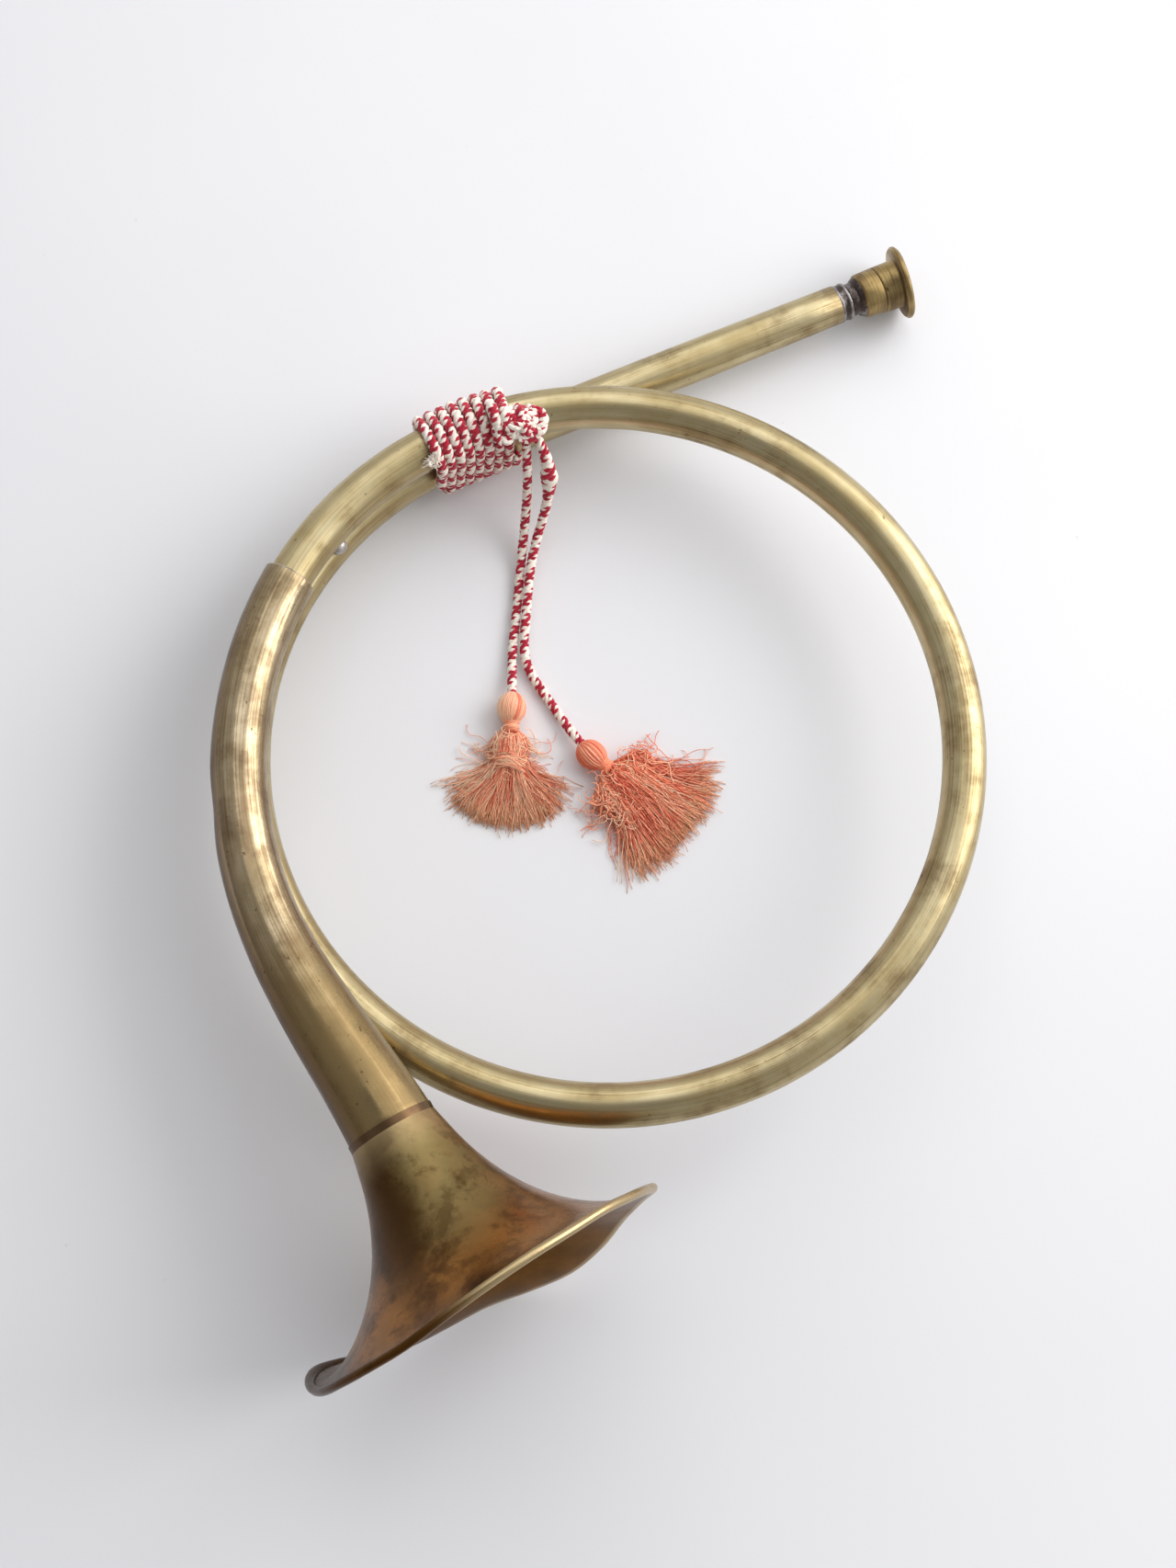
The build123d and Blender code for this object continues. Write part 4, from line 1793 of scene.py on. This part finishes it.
    def loops(self) -> List[List[Point]]:
        """Loops of the knot, given point by point, in metres, in the resting frame.

        Returns:
            The points of each loop.
        """
        centre = COIL.point(self.knot_angle + 360.0, COIL.radius - self.knot_in)
        centre = COIL.rest() @ (centre * MM + Vector((0.0, 0.0, self.knot_up * MM)))
        local = [
            [(-9, 4, 5), (-7, -2, 5.5), (-5.5, -5.5, 1), (-4, -4, -3), (-3, 2, -1), (-2.5, 4.5, 2.5),
             (-1.5, 0, 5.4), (0, -5, 3), (1, -5, -2), (1.5, 0, -2), (2, 4.5, 1), (3, 2, 5), (4, -3, 4.2),
             (5, -5, 0), (6, -1, -1), (7.5, 3, 1), (9.5, 2, 2), (10, -3, 1.5), (7, -6, 0), (3, -6.5, -1)],
            [(-6, -1, 3.5), (-3, -4.5, 4.6), (1, -3, 5.6), (5, 0.5, 4.4), (8, 4, 2.4), (10.5, 1, 2.6),
             (9.5, -3.5, 1.2), (5, -5, 1.6), (1, -6.5, 0.4)],
            [(-7, -6, 1.5), (-5, -8, 0.5), (-2.5, -7.2, 0.2), (-2, -4, 2.2), (-4, -2.5, 4)],
            [(-8.5, 5, 2.5), (-7.5, 0, 3.6), (-7, -5, 2), (-5.5, -6, -1), (-5, -1, -2), (-5, 4, 0),
             (-4.6, 5, 3.2), (-4, 0.5, 6), (-3, -4.4, 3.6), (-1, -5.6, 0.6)],
            [(0, 4.6, -1), (0.5, 4.8, 2.6), (1.6, 1.6, 5.4), (2.4, -2.6, 5.2), (3.4, -5.4, 2.4),
             (5, -4.4, 2.4), (6.2, -0.6, 3.8), (6.6, 3.4, 2.6), (5.2, 5, 0.4)],
        ]
        return [[tuple(centre + Vector(point) * MM) for point in row] for row in local]


# ---------------------------------------------------------------- free strands
LEFT_ROUTE = [
    (-0.0253, 0.1282, 0.0385), (-0.0249, 0.1226, 0.0346), (-0.0242, 0.1162, 0.0280),
    (-0.0237, 0.1099, 0.0196), (-0.0239, 0.1034, 0.0112), (-0.0244, 0.0956, 0.0052),
    (-0.0253, 0.0854, 0.0025), (-0.0263, 0.0750, 0.0020), (-0.0274, 0.0656, 0.0022),
    (-0.0286, 0.0562, 0.0021), (-0.0289, 0.0476, 0.0028), (-0.0293, 0.0398, 0.0044),
    (-0.0295, 0.0320, 0.0059)]
RIGHT_ROUTE = [
    (-0.0226, 0.1286, 0.0405), (-0.0189, 0.1234, 0.0370), (-0.0164, 0.1175, 0.0305),
    (-0.0156, 0.1112, 0.0220), (-0.0169, 0.1048, 0.0138), (-0.0192, 0.0980, 0.0084),
    (-0.0209, 0.0906, 0.0056), (-0.0221, 0.0826, 0.0046), (-0.0229, 0.0741, 0.0043),
    (-0.0237, 0.0659, 0.0041), (-0.0244, 0.0581, 0.0036), (-0.0241, 0.0518, 0.0029),
    (-0.0219, 0.0460, 0.0023), (-0.0183, 0.0402, 0.0021), (-0.0142, 0.0342, 0.0022),
    (-0.0102, 0.0282, 0.0026), (-0.0059, 0.0216, 0.0040), (0.0003, 0.0141, 0.0059)]


@dataclass
class Tassel:
    """One silk tassel: wound head, binding and skirt, lying on the surface. Millimetres and degrees.

    tint is 0 for the deepest colour and 1 for the palest. fan is half the skirt's spread, reach its length,
    bulge how far its top puffs out on the left and on the right, waist and belly its half width and half
    height there. curls, strays and band are how many loose threads lie on it, beside it and across it.
    """

    side: str
    centre: Point
    heading: float
    tint: float
    fan: float
    reach: float
    bulge: Tuple[float, float]
    waist: float
    belly: float
    count: int
    seed: int
    curls: int
    strays: int
    wild: float
    blush: float
    head_tint: float
    waist_at: float = 0.33
    band: int = 0
    head_r: float = 5.7
    head_threads: int = 270
    head_thread_r: float = 0.27
    neck_r: float = 2.75
    neck_turns: int = 9
    neck_thread_r: float = 0.24
    skirt_from: float = 7.4
    skirt_neck: float = 2.4
    thread_r: float = 0.19
    stray_r: float = 0.13

    def directions(self) -> Tuple[np.ndarray, np.ndarray]:
        """Directions ahead of the tassel and to its left.

        Returns:
            The two directions.
        """
        turn = math.radians(self.heading)
        return (np.array([math.cos(turn), math.sin(turn), 0.0]),
                np.array([-math.sin(turn), math.cos(turn), 0.0]))

    def spread(self, origin: np.ndarray, x: np.ndarray, y: np.ndarray, z: np.ndarray) -> np.ndarray:
        """Places ahead of a point, to the tassel's left of it and above it.

        Args:
            origin: the point, in millimetres.
            x: how far ahead.
            y: how far to the left.
            z: how far up.

        Returns:
            The places in metres.
        """
        ahead, left = self.directions()
        return (origin + x[..., None] * ahead + y[..., None] * left + z[..., None] * np.array(UP)) * MM

    def head(self, random: np.random.Generator) -> bpy.types.Object:
        """Ball covered by threads that run from pole to pole, with a closed ball under them.

        Args:
            random: the tassel's random numbers.

        Returns:
            The object, in its place.
        """
        threads = Threads(f"tassel_{self.side}_head_threads")
        count, length = self.head_threads, 22
        lean = random.uniform(-0.16, 0.16, (count, 1))
        start = (np.arange(count) * GOLDEN_ANGLE + random.uniform(-0.05, 0.05, count))[:, None]
        share = np.linspace(0.03, 0.97, length)[None, :]
        polar = share * math.pi
        angle = start + lean * np.sin(polar) + 0.5 * (share - 0.5)
        layer = random.uniform(-0.28, 0.0, (count, 1))
        radius = (self.head_r - 0.28) + layer
        lines = self.spread(np.array(self.centre), -np.cos(polar) * radius * 1.10,
                            np.sin(polar) * np.cos(angle) * radius * 0.98,
                            np.sin(polar) * np.sin(angle) * radius * 0.98)
        tint = self.head_tint + random.normal(0.0, 0.24, (count, 1)) - self.blush * np.cos(angle)
        threads.add(lines, np.full((count, length), self.head_thread_r * MM), 5, tint=np.clip(tint, 0.0, 1.0))
        polar = np.linspace(0.06, math.pi - 0.06, 18)
        radius = self.head_r - 0.5
        line = self.spread(np.array(self.centre), -np.cos(polar) * radius * 1.1, 0.0 * polar, 0.0 * polar)
        threads.add(line[None], (np.sin(polar) * radius * MM)[None], 24,
                    tint=np.full((1, len(polar)), self.tint * 0.6))
        return threads.make()

    def binding(self, random: np.random.Generator) -> bpy.types.Object:
        """Turns of thread round the neck, with a core under them.

        Args:
            random: the tassel's random numbers, not used.

        Returns:
            The object, in its place.
        """
        threads = Threads(f"tassel_{self.side}_binding_turns")
        length = self.neck_turns * 22
        share = np.linspace(0.0, 1.0, length)
        angle = share * self.neck_turns * 2 * math.pi
        radius = 2.9 + 0.25 * np.sin(share * 11.0)
        middle = np.array(self.centre) + np.array([0.0, 0.0, -0.5])
        line = self.spread(middle, 4.7 + 3.9 * share, radius * np.cos(angle), radius * np.sin(angle))
        threads.add(line[None], np.full((1, length), self.neck_thread_r * MM), 6,
                    tint=np.full((1, length), self.tint + 0.05))
        core = np.linspace(4.2, 9.0, 6)
        line = self.spread(middle, core, 0.0 * core, 0.0 * core)
        threads.add(line[None], np.full((1, len(core)), self.neck_r * MM), 16,
                    tint=np.full((1, len(core)), self.tint - 0.2))
        return threads.make()

    def skirt(self, random: np.random.Generator) -> bpy.types.Object:
        """The skirt's cut threads, spread out on the surface.

        Args:
            random: the tassel's random numbers.

        Returns:
            The object, in its place.
        """
        threads = Threads(f"tassel_{self.side}_skirt_threads")
        count = self.count
        share = np.linspace(0.0, 1.0, 16)[None, :]
        rank = 0.82 * random.uniform(-1.0, 1.0, (count, 1)) + random.normal(0, 0.16, (count, 1))
        rank = np.clip(rank, -1.12, 1.12)
        level = random.uniform(0.0, 1.0, (count, 1))
        clump = np.round(rank * 8 + 0.6 * np.sin(rank * 23.0)) / 8 + random.normal(0, 0.05, (count, 1))
        gather = np.clip((share - 0.45) / 0.55, 0, 1)
        rank_end = rank * (1 - 0.35 * gather) + clump * 0.35 * gather
        ragged = 0.06 * np.abs(np.sin(rank * 11.0 + self.seed)) + 0.05 * np.sin(rank * 27.0)
        reach = self.reach * (1.0 - 0.24 * random.random((count, 1)) ** 1.3 - ragged)
        stray = random.random((count, 1)) < 0.10
        reach = reach * np.where(stray, random.uniform(0.9, 1.10, (count, 1)), 1.0)
        sweep = np.radians(self.fan) * rank_end * smoothstep(share / 0.9)
        sweep = sweep + random.normal(0.0, 0.10, (count, 1)) * self.wild * share
        waist = self.waist_at
        out = np.where(share < waist, np.sin(np.clip(share / waist, 0, 1) * math.pi) ** 0.8, 0.0)
        puff = np.where(rank > 0, self.bulge[0], self.bulge[1])
        wide = self.skirt_neck + (self.waist - self.skirt_neck) * smoothstep(share / waist)
        x = reach * share * np.cos(sweep)
        y = rank * (wide + puff * out) + reach * np.clip(share - waist * 0.6, 0, 1) * np.sin(sweep)
        fall = 1.0 - smoothstep((share - 0.25) / 0.75) * 0.80
        round_off = np.sqrt(np.clip(1.0 - (rank / 1.1) ** 2, 0.05, 1.0))
        z = 0.35 + level * (2 * self.belly * fall * round_off * (0.35 + 0.65 * smoothstep(share / 0.15)))
        z = z + (5.4 - self.belly * 0.9) * (1 - smoothstep(share / 0.2)) * 0.9
        wave = random.uniform(0, 6.28, (count, 4))
        size = self.wild * random.uniform(0.2, 1.0, (count, 1)) ** 1.6 * smoothstep(share / 0.3)
        y = y + size * (0.85 * np.sin(share * 8.0 + wave[:, :1]) + 0.45 * np.sin(share * 19.0 + wave[:, 1:2]))
        x = x + size * 0.5 * np.sin(share * 13.0 + wave[:, 2:3])
        z = np.maximum(z + size * 0.3 * np.sin(share * 15.0 + wave[:, 3:4]), 0.3)
        tint = self.tint + random.normal(0.0, 0.33, (count, 1)) + 0.14 * np.sin(rank * 6.0)
        tint = tint + 0.16 * (share - 0.4)
        self.strew(threads, (x, y, z), self.thread_r * (1.0 - 0.25 * share), 3, tint, share)
        self.curl(threads, random)
        self.fly(threads, random)
        if self.band:
            self.cross(threads, random)
        return threads.make()

    def strew(self, threads: Threads, places: Tuple[np.ndarray, np.ndarray, np.ndarray],
              radius: Union[np.ndarray, float], sides: int, tint: np.ndarray,
              tip: Union[np.ndarray, float]) -> None:
        """Adds threads of the skirt.

        Args:
            threads: the bundle that they are added to.
            places: how far they lie ahead of the binding, to its left and above the surface.
            radius: their radius, all in millimetres.
            sides: corners round each thread.
            tint: their tint, held between 0 and 1.
            tip: how near they are to the skirt's cut edge, 0 to 1.
        """
        x, y, z = np.broadcast_arrays(*places)
        origin = np.array(self.centre) + self.directions()[0] * self.skirt_from
        origin[2] = 0.0
        radii = np.broadcast_to(np.asarray(radius) * MM, x.shape)
        threads.add(self.spread(origin, x, y, z), radii, sides,
                    tint=np.broadcast_to(np.clip(tint, 0.0, 1.0), x.shape), tip=np.broadcast_to(tip, x.shape))

    def cross(self, threads: Threads, random: np.random.Generator) -> None:
        """Adds a loose band of threads that lies across the skirt below its bulge.

        Args:
            threads: the bundle that they are added to.
            random: the tassel's random numbers.
        """
        count = self.band
        share = np.linspace(-1.0, 1.0, 18)[None, :]
        lift = random.uniform(0.0, 1.0, (count, 1))
        wide = self.waist + random.uniform(0.4, 2.6, (count, 1))
        middle = self.reach * self.waist_at + random.normal(0.4, 1.1, (count, 1))
        slope = random.normal(0.18, 0.16, (count, 1))
        y = share * wide
        x = middle + slope * y + 0.5 * np.sin(share * 4.0 + lift * 6.0)
        z = 0.6 + (2 * self.belly * 0.92 + lift * 0.8) * np.sqrt(np.clip(1.0 - (share * 0.93) ** 2, 0.0, 1.0))
        tint = self.tint + 0.1 + random.normal(0.0, 0.2, (count, 1))
        self.strew(threads, (x, y, z), self.thread_r, 3, tint, 0.0)

    def curl(self, threads: Threads, random: np.random.Generator) -> None:
        """Adds looped threads that lie tangled over the top of the skirt.

        Args:
            threads: the bundle that they are added to.
            random: the tassel's random numbers.
        """
        count, length = self.curls, 26
        share = np.linspace(0.0, 1.0, length)[None, :]
        start = random.uniform(0.03, 0.34, (count, 1)) * self.reach
        rank = random.uniform(-0.95, 0.95, (count, 1))
        wide = (self.waist + self.bulge[0]) * 0.95
        heading = random.uniform(-1.0, 1.0, (count, 1))
        bend = random.choice([-1.0, 1.0], (count, 1)) * random.uniform(1.2, 4.6, (count, 1))
        step = random.uniform(8.0, 17.0, (count, 1)) / length
        angle = heading + bend * share + 0.5 * np.sin(share * 9.0 + rank * 40.0)
        x = start + np.cumsum(np.cos(angle), axis=1) * step
        y = rank * wide + np.cumsum(np.sin(angle), axis=1) * step
        top = 2 * self.belly * (1.0 - 0.6 * np.clip(x / self.reach, 0, 1)) * np.sqrt(
            np.clip(1.0 - (y / (wide * 1.25)) ** 2, 0.02, 1.0))
        z = 0.5 + top * random.uniform(0.85, 1.05, (count, 1)) + 0.25 * np.sin(share * 12.0 + rank * 9.0)
        tint = self.tint + 0.18 + random.normal(0.0, 0.16, (count, 1))
        self.strew(threads, (x, y, z), self.thread_r, 4, tint, 0.0)

    def fly(self, threads: Threads, random: np.random.Generator) -> None:
        """Adds fine threads that stand off the skirt's edges and lie down on the surface.

        Args:
            threads: the bundle that they are added to.
            random: the tassel's random numbers.
        """
        count, length = self.strays, 24
        share = np.linspace(0.0, 1.0, length)[None, :]
        rank = random.choice([-1.0, 1.0], (count, 1)) * random.uniform(0.55, 1.05, (count, 1))
        start = random.uniform(0.05, 0.62, (count, 1)) * self.reach
        past = np.clip(start / self.reach - self.waist_at * 0.6, 0, 1)
        wide = self.waist + past * self.reach * math.sin(math.radians(self.fan))
        heading = rank * random.uniform(0.3, 1.35, (count, 1))
        bend = random.normal(0.0, 1.3, (count, 1))
        run = random.uniform(5.0, 14.0, (count, 1)) * self.wild ** 0.5
        angle = heading + bend * share + 0.55 * np.sin(share * 10.0 + start * 5.0)
        x = start + np.cumsum(np.cos(angle), axis=1) * run / length
        y = rank * wide * 0.92 + np.cumsum(np.sin(angle), axis=1) * run / length
        z = 0.3 + random.uniform(0.5, 3.0, (count, 1)) * (1.0 - share) + 0.6 * np.sin(share * 3.1)
        self.strew(threads, (x, y, z), self.stray_r, 3, self.tint + random.normal(0.05, 0.2, (count, 1)), 0.5)

    def build(self, finishes: Finishes) -> List[bpy.types.Object]:
        """Builds the tassel.

        Args:
            finishes: the finishes to choose from.

        Returns:
            The pieces that go with its cord.
        """
        random = np.random.default_rng(SEED + self.seed)
        pieces = []
        for part, make in (("head", self.head), ("binding", self.binding), ("skirt", self.skirt)):
            nodes = [f"tassel_{self.side}_{part}"]
            pieces.append(dress(make(random), finishes.silk, Body.HORN, nodes))
        keep_node(f"tassel_{self.side}_mould", finishes.wood)
        return pieces


def smoothstep(value: np.ndarray) -> np.ndarray:
    """Smooth rise from 0 to 1."""
    held = np.clip(value, 0.0, 1.0)
    return held * held * (3.0 - 2.0 * held)


@dataclass
class FreeCords:
    """The two strands that leave the knot, each with its tassel."""

    finishes: Finishes
    strand_r: float = 1.85
    strand_lay: float = 8.8

    def strand(self, side: str, route: Sequence[Point], tassel: Tassel, swell: Sequence[Point],
               phase: float) -> None:
        """Args:
            side: left or right.
            route: control points in metres.
            tassel: what hangs on its end.
            swell: rows of place, width and factor where the twist is loosened.
            phase: where the twist starts.
        """
        line = nurbs_line(route, f"route_{side}")
        bundle = Threads(f"strand_{side}")
        TwistedCord(self.strand_r, self.strand_lay).lay_up(bundle, line, phase, swell)
        piece = dress(bundle.make(), self.finishes.cord, Body.HORN, [f"cord_strand_{side}"])
        pieces = tassel.build(self.finishes)

    def build(self) -> None:
        """Builds both cords."""
        left = Tassel("left", centre=(-29.5, 32.0, 5.9), heading=-93.0, tint=0.60, fan=36.0, reach=38.5,
                      bulge=(3.3, 3.0), waist=4.6, belly=4.0, count=1600, seed=1, curls=40, strays=70,
                      wild=1.6, blush=0.28, head_tint=0.62, band=70)
        right = Tassel("right", centre=(0.3, 14.1, 5.9), heading=-39.0, tint=0.42, fan=18.5, reach=41.5,
                       bulge=(4.0, 4.5), waist=12.5, belly=4.2, count=1480, seed=2, curls=150, strays=80,
                       wild=1.7, blush=0.05, head_tint=0.3, waist_at=0.26)
        self.strand("left", LEFT_ROUTE, left, [], 0.4)
        self.strand("right", RIGHT_ROUTE, right, [(0.0195, 0.0075, 1.75)], 1.9)


# ---------------------------------------------------------------- studio
@dataclass
class Studio:
    """Floor, light and camera. Metres.

    room gives the surroundings' colour from the horizon to straight above, bright_side the direction in
    which they are brightest, and sides their strength away from it and towards it.
    """

    finishes: Finishes
    camera_at: Point = (-0.098727, -0.159757, 0.903049)
    right: Point = (0.99433822, -0.01890467, 0.10456629)
    up: Point = (-0.0000567, 0.98395270, 0.17842946)
    back: Point = (-0.10626143, -0.17742516, 0.97838071)
    lens: float = 56.26
    sensor: float = 36.0
    room: Tuple[Tuple[float, Colour], ...] = (
        (0.0, (0.52, 0.515, 0.51)), (0.30, (0.70, 0.695, 0.69)), (0.60, (0.76, 0.76, 0.765)),
        (0.88, (0.46, 0.46, 0.46)), (1.0, (0.26, 0.26, 0.26)))
    bright_side: Point = (0.6, 0.8, 0.0)
    sides: Tuple[float, float] = (0.42, 1.45)
    floor_size: float = 6.0

    def floor(self) -> None:
        """The pale board."""
        Bench.clear()
        bpy.ops.mesh.primitive_plane_add(size=self.floor_size, location=(0.0, 0.0, 0.0))
        board = bpy.context.object
        board.name = "board"
        board.data.materials.append(self.finishes.board)
        board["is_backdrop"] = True

    def light(self, name: str, place: Point, aim: Point, size: Tuple[float, float], power: float,
              colour: Colour) -> None:
        """Adds a soft rectangular light.

        Args:
            name: its name.
            place: where it stands.
            aim: the point that it faces.
            size: its width and height.
            power: its power in watts.
            colour: its colour.
        """
        lamp = bpy.data.lights.new(name, "AREA")
        lamp.shape = "RECTANGLE"
        lamp.size, lamp.size_y = size
        lamp.energy = power
        lamp.color = colour
        holder = bpy.data.objects.new(name, lamp)
        bpy.context.scene.collection.objects.link(holder)
        holder.location = place
        holder.rotation_euler = (Vector(aim) - Vector(place)).to_track_quat("-Z", "Y").to_euler()

    def surroundings(self) -> None:
        """A plain room, palest half way up, darker straight above and brighter on one side."""
        world = bpy.data.worlds.new("room")
        bpy.context.scene.world = world
        world.use_nodes = True
        tree = world.node_tree
        place = tree.nodes.new("ShaderNodeTexCoord")
        split = tree.nodes.new("ShaderNodeSeparateXYZ")
        ramp = tree.nodes.new("ShaderNodeValToRGB")
        Graph.colour_stops(ramp.color_ramp, self.room)
        tree.links.new(place.outputs["Generated"], split.inputs["Vector"])
        tree.links.new(split.outputs["Z"], ramp.inputs["Fac"])
        tree.links.new(ramp.outputs["Color"], tree.nodes["Background"].inputs["Color"])
        facing = tree.nodes.new("ShaderNodeVectorMath")
        facing.operation = "DOT_PRODUCT"
        facing.inputs[1].default_value = self.bright_side
        strength = tree.nodes.new("ShaderNodeMapRange")
        strength.inputs["From Min"].default_value = -1.0
        strength.inputs["To Min"].default_value, strength.inputs["To Max"].default_value = self.sides
        tree.links.new(place.outputs["Generated"], facing.inputs[0])
        tree.links.new(facing.outputs["Value"], strength.inputs["Value"])
        tree.links.new(strength.outputs["Result"], tree.nodes["Background"].inputs["Strength"])

    def camera(self) -> None:
        """The camera above the horn."""
        lens = bpy.data.cameras.new("camera")
        lens.sensor_fit = "VERTICAL"
        lens.sensor_height = self.sensor
        lens.lens = self.lens
        holder = bpy.data.objects.new("camera", lens)
        bpy.context.scene.collection.objects.link(holder)
        turn = Matrix((self.right, self.up, self.back)).transposed().to_4x4()
        holder.matrix_world = Matrix.Translation(self.camera_at) @ turn
        bpy.context.scene.camera = holder

    def build(self) -> None:
        """Builds the whole studio."""
        self.floor()
        self.surroundings()
        self.light("window", (1.25, 0.5, 0.74), (0.0, 0.0, 0.02), (1.3, 1.45), 20.0, (1.0, 0.99, 0.97))
        self.light("sky", (0.45, 1.2, 1.9), (0.0, 0.0, 0.0), (3.0, 2.2), 21.0, (0.98, 0.99, 1.0))
        bpy.context.scene.view_settings.view_transform = "Standard"
        self.camera()


def corners(box: Tuple[Vector, Vector]) -> List[List[float]]:
    """A box as plain lists."""
    return [[float(value) for value in corner] for corner in box]


def main() -> None:
    """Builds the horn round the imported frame."""
    logging.basicConfig(level=logging.INFO, format="%(name)s: %(message)s")
    cad_box = corners(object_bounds())
    finishes = Finishes()
    Studio(finishes).build()
    FreeCords(finishes).build()
    tubing = Tubing(finishes)
    tubing.build()
    stem = BellStem(finishes)
    stem.build()
    Bell(finishes, stem).build()
    Mouthpiece(finishes, tubing).build()
    Wrapping(finishes).build()
    Bench.clear()
    {"cad": cad_box, "visual": corners(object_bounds())}


if __name__ == "__main__":
    main()
